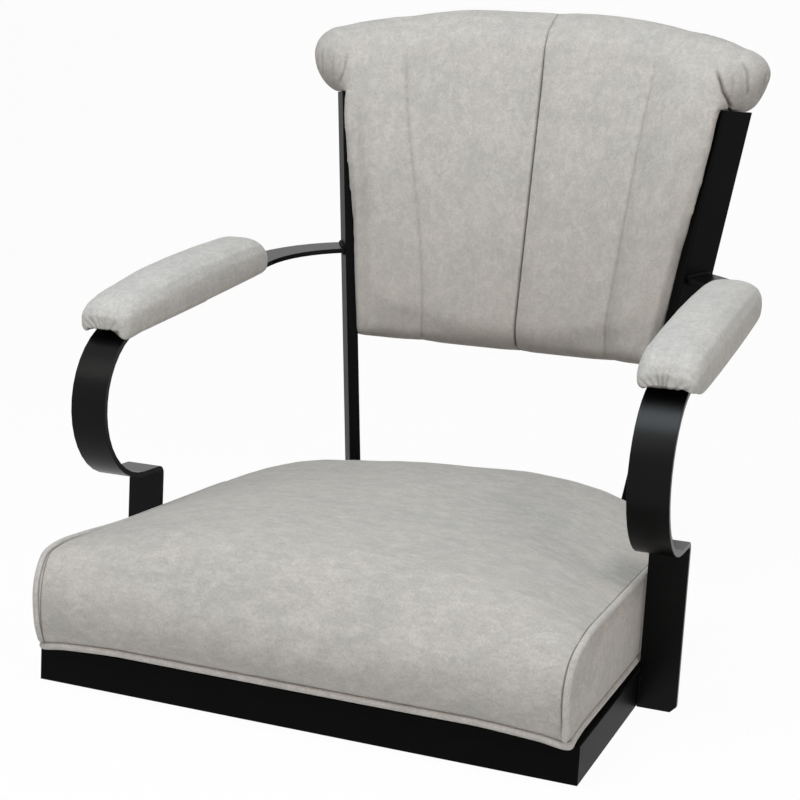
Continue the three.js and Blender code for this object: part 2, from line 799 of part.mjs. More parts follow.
function padSectionAt(share, fullness) {
  const top = rollCentreHeight(share);
  const face = top - backPadBottom;
  const puff = channelPuffHeight * fluteAt(share);
  const section = [[backPadBottom, backPadRear, 0]];
  for (const around of stepShares(4)) {
    const turn = around * Math.PI / 2;
    const height = backPadBottom + backPadBottomRound * (1 - Math.cos(turn));
    const front = backPadFrontLow - backPadBottomRound * (1 - Math.sin(turn)) + puff * Math.sin(turn);
    section.push([height, -front * fullness, 0]);
  }
  const rollFront = rollRadiusAt(share) - rollSetback;
  for (const [up, flared, rolled] of padFaceShares) {
    const padFront = (backPadFrontLow + (backPadFrontHigh - backPadFrontLow) * up + puff) * fullness;
    const front = THREE.MathUtils.lerp(padFront, rollFront, rolled);
    section.push([backPadBottom + up * face, -front, flared]);
  }
  section.push([top, backPadRear, 0]);
  return section;
}

function backPadBody() {
  const shares = sharesThrough([0, channelShare, 1], channelSteps);
  const rings = shares.map((share, i) => {
    const fromEnd = Math.min(i, shares.length - 1 - i);
    const fullness = padSideRoundShares[Math.max(padSideRoundShares.length - 1 - fromEnd, 0)];
    return padSectionAt(share, fullness).map(([height, depth, flared]) => {
      const outward = -backPadSideGap + flared * (backPadSideGap + backPadSideFlare);
      return backPoint(share, height, depth, outward);
    });
  });
  return loft(rings);
}

const rollSides = 16;
const rollEndTurns = [25, 45, 62, 76].map(THREE.MathUtils.degToRad);

function rollBody() {
  const endRadius = rollRadiusAt(1);
  const inner = rollOverhang - endRadius;
  const stations = sharesThrough([0, channelShare, 1], channelSteps).map((share) => (
    [share, inner, rollRadiusAt(share) + rollPuffHeight * (fluteAt(share) - 1)]
  ));
  const end = (sign) => rollEndTurns.map((turn) => (
    [sign, inner + endRadius * Math.sin(turn), (endRadius - rollPuffHeight) * Math.cos(turn)]
  ));
  const rings = [...end(-1).reverse(), ...stations, ...end(1)].map(([share, outward, radius]) => (
    Array.from({ length: rollSides }, (_, k) => {
      const turn = (k / rollSides) * 2 * Math.PI;
      const height = rollCentreHeight(share) + radius * Math.sin(turn);
      return backPoint(share, height, rollSetback - radius * Math.cos(turn), outward);
    })
  ));
  return loft(rings);
}

function addBackCushion() {
  const reach = tubeTopHeight / Math.cos(backLean) + tubeThick;
  const around = box(-tubeThick - clearance, clearance, -clearance, tubeWidth + clearance, 0, reach);
  const rightTube = around.applyMatrix4(tubeInBack);
  const cushion = toSolid(backPadBody()).add(toSolid(rollBody()));
  const fitted = cushion.subtract(toSolid(rightTube)).subtract(toSolid(mirrored(rightTube)));
  add('back_cushion', toGeometry(fitted), velvet, backGroup);
}

// Arms: one flat bar each, from the post round the loop and under the pad to the back tube

class BarPath {
  constructor(position, along, side) {
    this.position = position;
    this.along = along;
    this.side = side;
    this.stations = [];
    this.mark();
  }

  mark() {
    const [position, along, side] = [this.position.clone(), this.along.clone(), this.side.clone()];
    this.stations.push({ position, along, side });
  }

  run(length) {
    this.position.addScaledVector(this.along, length);
    this.mark();
    return this;
  }

  // Turns by an angle about an axis, on a circle of the given radius
  turn(axis, angle, radius, steps) {
    const inward = axis.clone().cross(this.along).multiplyScalar(Math.sign(angle) * radius);
    const centre = this.position.clone().add(inward);
    for (let i = 0; i < steps; i++) {
      this.position.sub(centre).applyAxisAngle(axis, angle / steps).add(centre);
      this.along.applyAxisAngle(axis, angle / steps);
      this.side.applyAxisAngle(axis, angle / steps);
      this.mark();
    }
    return this;
  }

  body(width, thick) {
    return loft(this.stations.map(({ position, along, side }) => {
      const up = side.clone().cross(along);
      return [[-1, -1], [1, -1], [1, 1], [-1, 1]].map(([a, b]) => (
        position.clone().addScaledVector(side, a * width / 2).addScaledVector(up, b * thick / 2)
      ));
    }));
  }
}

const postY = frontY + postSetback + armThick / 2;
const loopY = frontY + loopSetback;
const slopeStart = new THREE.Vector3(
  armX,
  loopY - loopRadius * Math.sin(armSlope),
  shoulderHeight + loopRadius + loopRadius * Math.cos(armSlope),
);
const slopeAlong = new THREE.Vector3(0, Math.cos(armSlope), Math.sin(armSlope));
const slopeUp = new THREE.Vector3(0, -Math.sin(armSlope), Math.cos(armSlope));

// Where the middle line of the tube's outer face meets the sloping plane of the arm
function armJoint() {
  const start = new THREE.Vector3(0, tubeWidth / 2, 0).applyMatrix4(tubeInStool);
  const up = new THREE.Vector3(0, 0, 1).transformDirection(tubeInStool);
  const height = slopeUp.dot(slopeStart.clone().sub(start)) / slopeUp.dot(up);
  return start.addScaledVector(up, height);
}

function armPath() {
  const alongX = new THREE.Vector3(1, 0, 0);
  const joint = armJoint();
  const sweep = Math.PI / 2 - backTurn;
  const sweepRadius = (armX - joint.x) / (1 - Math.cos(sweep));
  const straight = joint.clone().sub(slopeStart).dot(slopeAlong) - sweepRadius * Math.sin(sweep);
  const foot = new THREE.Vector3(armX, postY, 0);
  const path = new BarPath(foot, new THREE.Vector3(0, 0, 1), alongX.clone());
  path.run(shoulderHeight - postBendRadius);
  path.turn(alongX, Math.PI / 2, postBendRadius, 4);
  path.run(postY - postBendRadius - loopY);
  path.turn(alongX, armSlope - Math.PI, loopRadius, 18);
  path.run(straight);
  path.turn(slopeUp, sweep, sweepRadius, 8);
  path.run(armThick);
  return path;
}

function padScrewPlaces() {
  return [['front', padScrewInset], ['rear', padLength - padScrewInset]];
}

// Frame of the right pad: along the arm, with its origin on the bar's top face under the pad's front end
const padOrigin = slopeStart.clone().addScaledVector(slopeUp, armThick / 2);
padOrigin.addScaledVector(slopeAlong, (frontY + padSetback - padOrigin.y) / Math.cos(armSlope));
slopeGroup.position.set(0, padOrigin.y, padOrigin.z);
slopeGroup.rotation.x = armSlope;
slopeGroup.updateMatrixWorld(true);

function padScrew(along, grow) {
  const length = armThick + padBoardThick - clearance;
  return screwBody(length, false, grow).translate(armX, along, -armThick - clearance + grow);
}

function addArms() {
  const inside = box(-overrun - tubeWidth, clearance, -overrun, tubeWidth + overrun, 0, tubeTopHeight);
  const trim = inside.applyMatrix4(tubeInStool);
  const toSlope = slopeGroup.matrixWorld;
  const holes = padScrewPlaces().map(([, along]) => padScrew(along, clearance).applyMatrix4(toSlope));
  const chamfer = box(-postChamfer, postChamfer, -overrun, overrun, -postChamfer, postChamfer);
  chamfer.rotateY(Math.PI / 4).translate(armX + armWidth / 2, postY, 0);
  const arm = cut(armPath().body(armWidth, armThick), [trim, chamfer, ...holes]);
  add('right_arm', arm, blackSteel);
  add('left_arm', mirrored(arm), blackSteel);
}

// Arm pads: a loaf over a board, grooved for the bar

// Place along the pad, then shares of its width and height there
const padEndShares = [[0, 0.74, 0.42], [0.015, 0.87, 0.66], [0.05, 0.96, 0.86], [0.11, 1, 0.97]];
const padMiddleShares = [[0.3, 1.03, 1.03], [0.5, 1.04, 1.05], [0.7, 1.03, 1.03]];
// Half section from the underside round to the top: shares of half width and height
const padSectionShares = [
  [0.86, 0], [0.96, 0.1], [1, 0.32], [0.97, 0.56], [0.84, 0.79], [0.58, 0.93], [0.28, 0.99],
];

function padBody() {
  const rear = padEndShares.map(([along, wide, high]) => [1 - along, wide, high]).reverse();
  const rings = [...padEndShares, ...padMiddleShares, ...rear].map(([along, wide, high]) => {
    const right = padSectionShares.map(([across, up]) => [across, up]);
    const left = padSectionShares.map(([across, up]) => [-across, up]).reverse();
    return [...right, [0, 1], ...left].map(([across, up]) => new THREE.Vector3(
      across * wide * padWidth / 2,
      along * padLength,
      -padLip + up * high * (padHeight + padLip),
    ));
  });
  return loft(rings);
}

function addArmPads() {
  const half = padBoardWidth / 2;
  const top = clearance + padBoardThick;
  const board = box(-half, half, padBoardMargin, padLength - padBoardMargin, clearance, top);
  const room = box(-half - clearance, half + clearance, padBoardMargin - clearance,
    padLength - padBoardMargin + clearance, 0, top + clearance);
  const barHalf = armWidth / 2 + clearance;
  const grooveEnd = padLength + overrun;
  const groove = box(-barHalf, barHalf, padBoardMargin - clearance, grooveEnd, -overrun, clearance);
  const pad = cut(padBody(), [room, groove]).translate(armX, 0, 0);
  const pilots = padScrewPlaces().map(([, along]) => padScrew(along, clearance));
  const drilled = cut(board.translate(armX, 0, 0), pilots);
  for (const [side, shape] of [['right', (body) => body], ['left', mirrored]]) {
    add(`${side}_arm_pad`, shape(pad), velvet, slopeGroup);
    add(`${side}_arm_pad_board`, shape(drilled), plywood, slopeGroup);
    for (const [place, along] of padScrewPlaces()) {
      add(`${side}_arm_pad_screw_${place}`, shape(padScrew(along, 0)), zincSteel, slopeGroup);
    }
  }
}

addSeatFrame();
addStraps();
addSwivel();
addSeatBoard();
addSeatCushion();
addBackTubes();
addBackRails();
addBackBoards();
addBackCushion();
addArms();
addArmPads();

export default stool;
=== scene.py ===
# %% [markdown]
# # The seat head of a tall stool, dressed for a photograph
#
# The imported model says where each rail, bar, board and screw of this stool is. This script puts cloth, foam
# folds, powder coat and light on it. The sitter faces -Y, Z is up, and lengths are in metres. It rounds the
# edges of the steel, fills the cushions out, and closes a hair-wide gap at two butt joints.

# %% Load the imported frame
import math
from contextlib import contextmanager
from functools import partialmethod

import bmesh
import bpy
import numpy as np
from mathutils import Matrix, Vector
from mathutils.bvhtree import BVHTree


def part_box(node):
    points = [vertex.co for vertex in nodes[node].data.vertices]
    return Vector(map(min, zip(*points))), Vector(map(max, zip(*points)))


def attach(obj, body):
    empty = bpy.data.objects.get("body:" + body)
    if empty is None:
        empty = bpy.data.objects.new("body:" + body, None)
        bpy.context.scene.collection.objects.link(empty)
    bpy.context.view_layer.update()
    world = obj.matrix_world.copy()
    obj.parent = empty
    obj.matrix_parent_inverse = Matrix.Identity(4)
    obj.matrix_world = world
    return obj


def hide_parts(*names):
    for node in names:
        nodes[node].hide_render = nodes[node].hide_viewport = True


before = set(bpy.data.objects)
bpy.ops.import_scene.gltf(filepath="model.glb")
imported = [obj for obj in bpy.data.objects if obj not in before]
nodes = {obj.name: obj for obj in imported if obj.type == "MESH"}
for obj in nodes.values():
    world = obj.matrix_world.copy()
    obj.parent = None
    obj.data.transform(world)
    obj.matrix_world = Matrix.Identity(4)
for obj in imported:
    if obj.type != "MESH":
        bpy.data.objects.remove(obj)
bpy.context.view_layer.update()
scene = bpy.context.scene
mm = 0.001

# %% [markdown]
# ## Camera
#
# The photograph was taken from the sitter's left front, a little above the arms, with a long lens. A camera
# in Blender looks along its own -Z axis with Y up, so its three axes are the columns of a turn matrix. They
# are worked out from a yaw, a pitch and a roll instead of being turned by hand, so that each can be read.

# %% Camera
camera_place = Vector((0.5255, -1.399, 0.494))
camera_yaw, camera_pitch, camera_roll = (math.radians(a) for a in (20.95, 9.65, -3.2))
ahead = Vector((-math.sin(camera_yaw) * math.cos(camera_pitch),
                math.cos(camera_yaw) * math.cos(camera_pitch), -math.sin(camera_pitch)))
level = Vector((math.cos(camera_yaw), math.sin(camera_yaw), 0))
down = ahead.cross(level)
right = level * math.cos(camera_roll) + down * math.sin(camera_roll)
down = down * math.cos(camera_roll) - level * math.sin(camera_roll)

photo_width, focal_length = 800, 1652  # both in pixels of the photograph
camera_data = bpy.data.cameras.new("camera")
camera_data.sensor_width = 36
camera_data.lens = focal_length / photo_width * camera_data.sensor_width
camera = bpy.data.objects.new("camera", camera_data)
scene.collection.objects.link(camera)
camera.matrix_world = Matrix((right, -down, -ahead)).transposed().to_4x4()
camera.matrix_world.translation = camera_place
scene.camera = camera
print("camera: lens", round(camera_data.lens, 1), "mm")

# %% [markdown]
# ## Floor, backdrop and lamps
#
# A product photograph stands on a paper sweep: a floor that curves up into a wall, so no horizon shows. It
# is one edge that is extruded back, spun through a quarter turn and extruded up.

# %% Paper sweep
def sweep_mesh(width, front, rear, radius, height):
    bm = bmesh.new()
    ends = [bm.verts.new((side * width / 2, front, 0)) for side in (-1, 1)]
    edges = [bm.edges.new(ends)]

    def move_on(x, y, z):
        extruded = bmesh.ops.extrude_edge_only(bm, edges=edges)["geom"]
        verts = [part for part in extruded if isinstance(part, bmesh.types.BMVert)]
        bmesh.ops.translate(bm, verts=verts, vec=(x, y, z))
        edges[:] = [part for part in extruded if isinstance(part, bmesh.types.BMEdge)]

    move_on(0, rear - front, 0)
    spun = bmesh.ops.spin(bm, geom=edges, cent=(0, rear, radius), axis=(1, 0, 0), angle=math.pi / 2, steps=24)
    edges[:] = [part for part in spun["geom_last"] if isinstance(part, bmesh.types.BMEdge)]
    move_on(0, 0, height)
    bmesh.ops.recalc_face_normals(bm, faces=bm.faces)
    mesh = bpy.data.meshes.new("paper_sweep")
    bm.to_mesh(mesh)
    bm.free()
    mesh.shade_smooth()
    return mesh


sweep = bpy.data.objects.new("paper_sweep", sweep_mesh(12, -4, 2.0, 1.2, 4))
sweep.location.z = -0.5 * mm
scene.collection.objects.link(sweep)

# %% [markdown]
# ### Expressions for materials
#
# A material is a graph of nodes, which is hard to read as a list of links. A small class wraps a node's
# output, and Python's own operators on it add Math nodes, so a pattern reads as a formula.

# %% Sockets that add up
class Socket:
    def __init__(self, finish, output):
        self.finish = finish
        self.output = output

    def math(self, operation, *others):
        return self.finish.add("ShaderNodeMath", {"operation": operation}, [self, *others])

    __add__ = __radd__ = partialmethod(math, "ADD")
    __sub__ = partialmethod(math, "SUBTRACT")
    __mul__ = partialmethod(math, "MULTIPLY")
    __truediv__ = partialmethod(math, "DIVIDE")
    __pow__ = partialmethod(math, "POWER")

    def __rsub__(self, other):
        return self.finish.add("ShaderNodeMath", {"operation": "SUBTRACT"}, [other, self])

    def between(self, low, high):
        """Zero up to low, one from high, and smooth between them."""
        inputs = {"Value": self, "From Min": low, "From Max": high}
        return self.finish.add("ShaderNodeMapRange", {"interpolation_type": "SMOOTHSTEP"}, inputs)

    def part(self, axis):
        """The X, Y or Z of a vector."""
        return self.finish.add("ShaderNodeSeparateXYZ", {}, [self], output=axis)


class Finish:
    """A material or world with its shader, and short words for the nodes that feed it."""

    def __init__(self, name, kind=bpy.data.materials, shader="Principled BSDF", **constants):
        self.material = kind.new(name)
        self.material.use_nodes = True
        self.tree = self.material.node_tree
        self.shader = self.tree.nodes[shader]
        self.set(**constants)

    def set(self, **values):
        for name, value in values.items():
            self.plug(self.shader.inputs[name.replace("_", " ")], value)

    def plug(self, socket, value):
        if isinstance(value, Socket):
            self.tree.links.new(value.output, socket)
        else:
            socket.default_value = value

    def add(self, kind, settings=None, inputs=(), output=0):
        node = self.tree.nodes.new(kind)
        for name, value in (settings or {}).items():
            setattr(node, name, value)
        pairs = inputs.items() if isinstance(inputs, dict) else enumerate(inputs)
        for name, value in pairs:
            self.plug(node.inputs[name], value)
        return Socket(self, node.outputs[output])

    def place(self, stretch=(1, 1, 1)):
        coordinates = self.add("ShaderNodeTexCoord", output="Object")
        inputs = {"Vector": coordinates, "Scale": stretch}
        return self.add("ShaderNodeMapping", {"vector_type": "POINT"}, inputs)

    def noise(self, size, detail=2, roughness=0.5, at=None, distortion=0):
        """Cloudy noise whose blotches are about size across, in metres."""
        inputs = {"Vector": at or self.place(), "Scale": 1 / size, "Detail": detail, "Roughness": roughness,
                  "Distortion": distortion}
        return self.add("ShaderNodeTexNoise", {"noise_dimensions": "3D"}, inputs)

    def mix(self, low, high, share):
        """Colour that goes from low to high by a share."""
        return self.add("ShaderNodeMix", {"data_type": "RGBA"}, {0: share, 6: low, 7: high}, output=2)

    def bump(self, height, distance, strength):
        return self.add("ShaderNodeBump", {}, {"Height": height, "Distance": distance, "Strength": strength})


def srgb(red, green, blue):
    """Colour as a picture program writes it, from 0 to 255, turned into light."""
    light = [(c / 255 / 12.92) if c <= 10 else ((c / 255 + 0.055) / 1.055) ** 2.4 for c in (red, green, blue)]
    return (*light, 1)


# %% [markdown]
# The paper is mixed with plain white for the camera and for what mirrors it, which lifts the background and
# keeps the shadow. The room beyond it does the same, and lights the object only dimly.

# %% Paper and room light
def seen_or_mirrored(finish):
    """One for rays that make the picture, also by way of gloss or glass, and nothing for those that light."""
    seen = finish.add("ShaderNodeLightPath", output="Is Camera Ray")
    for mirrored in ("Is Glossy Ray", "Is Transmission Ray"):
        seen = seen.math("MAXIMUM", finish.add("ShaderNodeLightPath", output=mirrored))
    return seen


paper = Finish("paper", Base_Color=srgb(232, 231, 229), Roughness=0.9)
white = paper.add("ShaderNodeEmission", {}, {"Color": (1, 1, 1, 1), "Strength": 1})
paper_look = Socket(paper, paper.shader.outputs[0])
whitened = 0.96
lifted = paper.add("ShaderNodeMixShader", {}, [seen_or_mirrored(paper) * whitened, paper_look, white])
paper.tree.links.new(lifted.output, paper.tree.nodes["Material Output"].inputs["Surface"])
sweep.data.materials.append(paper.material)

room = Finish("pale_room", bpy.data.worlds, "Background")
room_light = 0.22
room.set(Color=(1, 1, 1, 1), Strength=seen_or_mirrored(room) * (1 - room_light) + room_light)
scene.world = room.material
scene.view_settings.view_transform = "Standard"


def softbox(name, place, target, width, height, watts, color):
    lamp_data = bpy.data.lights.new(name, "AREA")
    lamp_data.color = color
    lamp_data.shape = "RECTANGLE"
    lamp_data.size, lamp_data.size_y, lamp_data.energy = width, height, watts
    lamp = bpy.data.objects.new(name, lamp_data)
    scene.collection.objects.link(lamp)
    lamp.location = place
    lamp.rotation_euler = (Vector(target) - Vector(place)).to_track_quat("-Z", "Y").to_euler()


middle = (0, 0.05, 0.3)
softbox("softbox_above", (0.0, -0.75, 1.9), middle, 0.9, 0.9, 24, (0.83, 0.94, 1))
softbox("softbox_front_left", (-1.1, -2.0, 2.0), middle, 1.6, 1.2, 16.5, (1, 0.935, 0.89))
softbox("softbox_right", (2.0, -1.3, 1.8), middle, 1.0, 1.4, 20, (1, 0.945, 0.9))
print("stage: paper sweep, three softboxes and a pale room")

# %% [markdown]
# ## Steel finishes
#
# The frame is powder coated: a polymer that is baked on, satin black, with the faint ripple that painters
# call orange peel. It is not a metal to light, so metallic stays 0. Its roughness wanders a little, and
# hands polish the arms, so theirs shines more. The coat wears thin on edges. Pointiness can't find those on
# big flat faces, whose only points are at their corners, so each rounded edge carries a mark of its own, an
# attribute called edge.

# %% Powder coat
def black_coat(name, shine, roughness):
    coat = Finish(name, Specular_IOR_Level=shine)
    peel = coat.noise(1.6 * mm, detail=2, roughness=0.45)
    smudge = coat.noise(55 * mm, detail=4, roughness=0.6)
    speck = coat.noise(0.45 * mm, detail=1)
    edge = coat.add("ShaderNodeAttribute", {"attribute_name": "edge"}, output="Fac")
    rubbed = edge * coat.noise(9 * mm, detail=5, roughness=0.7).between(0.42, 0.7)
    color = coat.mix(srgb(7, 7, 7), srgb(10, 10, 10), smudge.between(0.3, 0.75))
    coat.set(
        Base_Color=coat.mix(color, srgb(52, 52, 52), rubbed * 0.5),
        Roughness=roughness + smudge * 0.02 + speck * 0.05 - rubbed * 0.06,
        Normal=coat.bump(peel + speck * 0.3, 0.05 * mm, 0.5),
    )
    return coat


powder_coat = black_coat("satin_black_powder_coat", 0.04, 0.42)
polished_coat = black_coat("handled_black_powder_coat", 0.12, 0.26)

# %% [markdown]
# Weld beads carry the same coat as the rails.
# Bolts, screws and swivel plates are zinc plated: metal that is bright in the creases of its crystals and
# slightly blue or yellow from place to place.

# %% Zinc plating
zinc = Finish("bright_zinc_plating", Metallic=1.0)
spangle = zinc.add("ShaderNodeTexVoronoi", {"feature": "F1"}, {"Vector": zinc.place(), "Scale": 1 / (5 * mm)})
tint = zinc.noise(22 * mm, detail=3)
brushed = zinc.noise(0.5 * mm, detail=2, at=zinc.place(stretch=(0.06, 1, 1)))
cool_zinc = zinc.mix(srgb(176, 180, 184), srgb(196, 194, 184), tint.between(0.35, 0.7))
zinc.set(
    Base_Color=zinc.mix(cool_zinc, srgb(150, 152, 154), spangle * 0.35),
    Roughness=0.24 + brushed * 0.2 + tint * 0.08,
    Normal=zinc.bump(brushed + spangle * 0.3, 0.02 * mm, 0.4),
)

# %% [markdown]
# The bearing ring is turned nylon. Turning leaves fine rings round its axis, which a wave texture of rings
# about Z gives, and the plastic is a little uneven in colour.

# %% Nylon
nylon = Finish("turned_nylon", Subsurface_Weight=0.08, Specular_IOR_Level=0.5)
turning = nylon.add("ShaderNodeTexWave", {"wave_type": "RINGS", "rings_direction": "Z"},
                    {"Vector": nylon.place(), "Scale": 1 / (9 * mm), "Distortion": 0.3, "Detail": 1.0})
yellowing = nylon.noise(35 * mm, detail=3)
nylon.set(
    Base_Color=nylon.mix(srgb(226, 222, 211), srgb(212, 206, 190), yellowing.between(0.35, 0.75)),
    Roughness=0.42 + turning * 0.12,
    Normal=nylon.bump(turning, 0.03 * mm, 0.5),
)

# %% [markdown]
# The boards are birch plywood. Its faces show a long pale grain, and its edges show the plies as stripes.
# One colour from a height would stripe the faces of a leaning board too, so the plies follow the board:
# flat ones by height, and the back's by the distance from the axis that it is bent about. The cover is
# pulled over each board's rim and stapled behind, so a rim, told by its normal, shows velour instead.

# %% Plywood
back_foot = Vector((0, 0.2237, 0))
back_lean, back_flare, back_turn = (math.radians(a) for a in (7.5, 7.5, 30))
foot_half_width = 140.5 * mm
ply = 1.4 * mm


def birch(name, ply_height, rim_at):
    finish = Finish(name, Specular_IOR_Level=0.35)
    layers = ply_height(finish).math("PINGPONG", ply) / ply
    fibre = finish.place(stretch=(0.07, 1, 1))
    grain = finish.noise(3.5 * mm, detail=6, roughness=0.65, at=fibre, distortion=0.4)
    pores = finish.noise(0.7 * mm, detail=2, at=finish.place(stretch=(0.05, 1, 1)))
    stain = finish.noise(90 * mm, detail=3)
    facing = finish.mix(srgb(214, 184, 140), srgb(188, 152, 106), grain.between(0.3, 0.75))
    layered = finish.mix(facing, srgb(150, 112, 72), layers.between(0.55, 0.8) * 0.55)
    bare = finish.mix(layered, srgb(170, 134, 92), stain.between(0.4, 0.8) * 0.5)
    fibres = finish.noise(1.7 * mm, detail=3, roughness=0.8)
    pulled_over = finish.mix(srgb(176, 171, 166), srgb(146, 140, 135), fibres.between(0.3, 0.8))
    rim = rim_at(finish)
    finish.set(
        Base_Color=finish.mix(bare, pulled_over, rim),
        Roughness=0.62 + grain * 0.2 + rim * 0.2,
        Normal=finish.bump(grain * 0.6 + pores * 0.5, 0.12 * mm, 0.5),
    )
    return finish


def height_above_floor(finish):
    return finish.place().part("Z")


def depth_in_back(finish):
    """Distance from the axis of the back's curve, which leans with it and widens upwards."""
    inputs = {"Vector": finish.place(), "Location": tuple(back_foot), "Rotation": (-back_lean, 0, 0)}
    moved = finish.add("ShaderNodeMapping", {"vector_type": "TEXTURE"}, inputs)
    x, y, z = (moved.part(axis) for axis in "XYZ")
    radius = (z * math.tan(back_flare) + foot_half_width) / math.sin(back_turn)
    ahead_of_axis = y + radius * math.cos(back_turn)
    return (x * x + ahead_of_axis * ahead_of_axis) ** 0.5 - radius


def facing_share(finish, *axes):
    """How squarely a face looks along any of these axes of its own object."""
    normal = finish.add("ShaderNodeTexCoord", output="Normal")
    facing = [normal.part(axis).math("ABSOLUTE") for axis in axes]
    return facing[0] if len(facing) == 1 else facing[0].math("MAXIMUM", facing[1])


def rim_of_flat_board(finish):
    return 1 - facing_share(finish, "Z").between(0.3, 0.7)


def rim_of_bent_board(finish):
    return facing_share(finish, "X", "Z").between(0.6, 0.75)


seat_birch = birch("birch_plywood_flat", height_above_floor, rim_of_flat_board)
back_birch = birch("birch_plywood_bent", depth_in_back, rim_of_bent_board)
print("finishes: powder coat, zinc, nylon, two plywoods")

# %% [markdown]
# ## Velour
#
# The cover is a short-napped velour in a warm pale grey. Hands and knees brush the nap different ways, so
# the colour is cloudy: cool grey where it lies away, warmer and lighter where it stands up. Three sizes of
# noise do that, with a fine grain of fibres over them. A little sheen lifts the edges, as a nap does, and
# it is set on the shader's own socket, because a sheen doesn't change from place to place.

# %% Velour
def velour(name, cool, warm, stretch, sheen, painted_shade_at=None, fibre_depth=0.16, painted_shade_low_at=None):
    finish = Finish(name, Sheen_Weight=sheen, Sheen_Roughness=0.4, Specular_IOR_Level=0.1)
    finish.set(Sheen_Tint=srgb(244, 240, 236))
    along = finish.place(stretch=stretch)
    clouds = finish.noise(42 * mm, detail=4, roughness=0.6, at=along, distortion=0.3)
    brushing = finish.noise(10 * mm, detail=4, roughness=0.66, at=along, distortion=0.5)
    crushed = finish.noise(3.6 * mm, detail=4, roughness=0.7, at=along)
    fibres = finish.noise(1.7 * mm, detail=3, roughness=0.8)
    nap = clouds * 0.4 + brushing * 0.36 + crushed * 0.24
    color = finish.mix(cool, warm, nap.between(0.36, 0.64))
    lighter = finish.mix(color, srgb(218, 214, 209), brushing.between(0.4, 0.68) * 0.24)
    darker = finish.mix(lighter, srgb(134, 129, 125), crushed.between(0.36, 0.7) * 0.24)
    grained = finish.mix(darker, srgb(112, 108, 105), fibres.between(0.3, 0.8) * 0.32)
    # Painted shade: where this mask is given, the cloth is darkened and warmed as if less light fell there.
    if painted_shade_low_at:
        grained = finish.mix(grained, srgb(146, 136, 127), painted_shade_low_at(finish) * 0.34)
    # Painted shade: where this mask is given, the cloth darkens towards a shaded brown grey in seams, creases
    # and pleats.
    if painted_shade_at:
        grained = finish.mix(grained, srgb(92, 84, 78), painted_shade_at(finish))
    finish.set(
        Base_Color=grained,
        Roughness=0.84 + fibres * 0.14,
        Normal=finish.bump(fibres + crushed * 0.8, fibre_depth * mm, 0.55),
    )
    return finish


# %% [markdown]
# A seam looks darker than the cloth beside it, because shade falls in the stitched ditch. These masks paint
# that shade into the colour as a hair-wide line where the seams run: beside the seat's piping, and down the
# back's middle.

# %% Shade in the seams
seat_half = 236.7 * mm
seat_front, board_top = -230 * mm, 40.3 * mm
taper_per_metre = (480 - 472) / (480 * 0.46)  # the frame's width in mm, in front and behind, over its depth
tuck_per_metre = 0.25 / 0.24
middle_shift = 7 * mm  # the middle seam was sewn a little to one side


# Painted shade: a hair-wide dark line in the ditch just inside the seat's piping.
def painted_shade_beside_piping(finish):
    x, y = (finish.place().part(axis) for axis in "XY")
    behind = (y - seat_front).math("MAXIMUM", 0.0)
    ahead_of_frame = (seat_front - y).math("MAXIMUM", 0.0)
    share = 1 - behind * taper_per_metre - ahead_of_frame * tuck_per_metre
    off = (x.math("ABSOLUTE") / share - (seat_half - 3.6 * mm)).math("ABSOLUTE")
    return (1 - off.between(0.35 * mm, 1.0 * mm)) * 0.6


def painted_shade_on_mesh(finish):
    """Shade painted into creases and pleats is marked on the mesh when they are pulled in, as a point
    attribute.
    """
    return finish.add("ShaderNodeAttribute", {"attribute_name": "painted_shade"}, output="Fac")


# Painted shade down the back's middle seam, weaker on the roll, together with the shade marked on the mesh.
def painted_shade_of_back(finish):
    x = finish.place().part("X")
    in_middle = 1 - (x - middle_shift).math("ABSOLUTE").between(0.3 * mm, 1.3 * mm)
    in_middle = in_middle * (0.75 - height_above_floor(finish).between(560 * mm, 600 * mm) * 0.4)
    return in_middle.math("MAXIMUM", painted_shade_on_mesh(finish))


# Painted shade: the back's cloth is darker and warmer towards the bottom, fully below 250 mm and fading out
# by 500 mm.
def painted_shade_low_on_back(finish):
    return 1 - height_above_floor(finish).between(250 * mm, 500 * mm)


seat_colors = srgb(183, 180, 175), srgb(200, 192, 185)
back_colors = srgb(185, 181, 176), srgb(201, 193, 186)
pad_colors = srgb(193, 191, 187), srgb(208, 203, 198)
piping_colors = srgb(190, 186, 182), srgb(205, 198, 192)
seat_velour = velour("velour_seat", *seat_colors, (0.6, 1, 1), 0.16, painted_shade_at=painted_shade_beside_piping)
back_velour = velour("velour_back", *back_colors, (1, 1, 0.8), 0.16, painted_shade_at=painted_shade_of_back,
                     painted_shade_low_at=painted_shade_low_on_back)
panel_velour = velour("velour_back_panel", *back_colors, (1, 1, 0.8), 0.16)
pad_velour = velour("velour_arm_pads", *pad_colors, (1, 0.7, 1), 0.18, painted_shade_at=painted_shade_on_mesh)
piping_velour = velour("velour_piping", *piping_colors, (1, 1, 1), 0.2, fibre_depth=0.1)
print("velours: seat, back, back panel, arm pads and piping")

# %% [markdown]
# ## The steel frame
#
# Each rail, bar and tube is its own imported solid, with edges as sharp as the sum that made it. Real bar
# stock has small rounds, and a rolled bend is smooth. A welded copy of each solid has its flat triangles
# dissolved into whole faces, its sharp edges bevelled, and its gentle bends shaded smooth. The ends that
# butt at a mitre stay sharp, because a groove would show there and the real joint is ground flush.

# %% Places, normals and mesh of a piece
def coordinates(piece):
    co = np.empty(len(piece.data.vertices) * 3)
    piece.data.vertices.foreach_get("co", co)
    return co.reshape(-1, 3)


def normals(piece):
    normal = np.empty(len(piece.data.vertices) * 3)
    piece.data.vertex_normals.foreach_get("vector", normal)
    return normal.reshape(-1, 3)


def move_to(piece, co):
    piece.data.vertices.foreach_set("co", np.ascontiguousarray(co, dtype=float).ravel())
    piece.data.update()


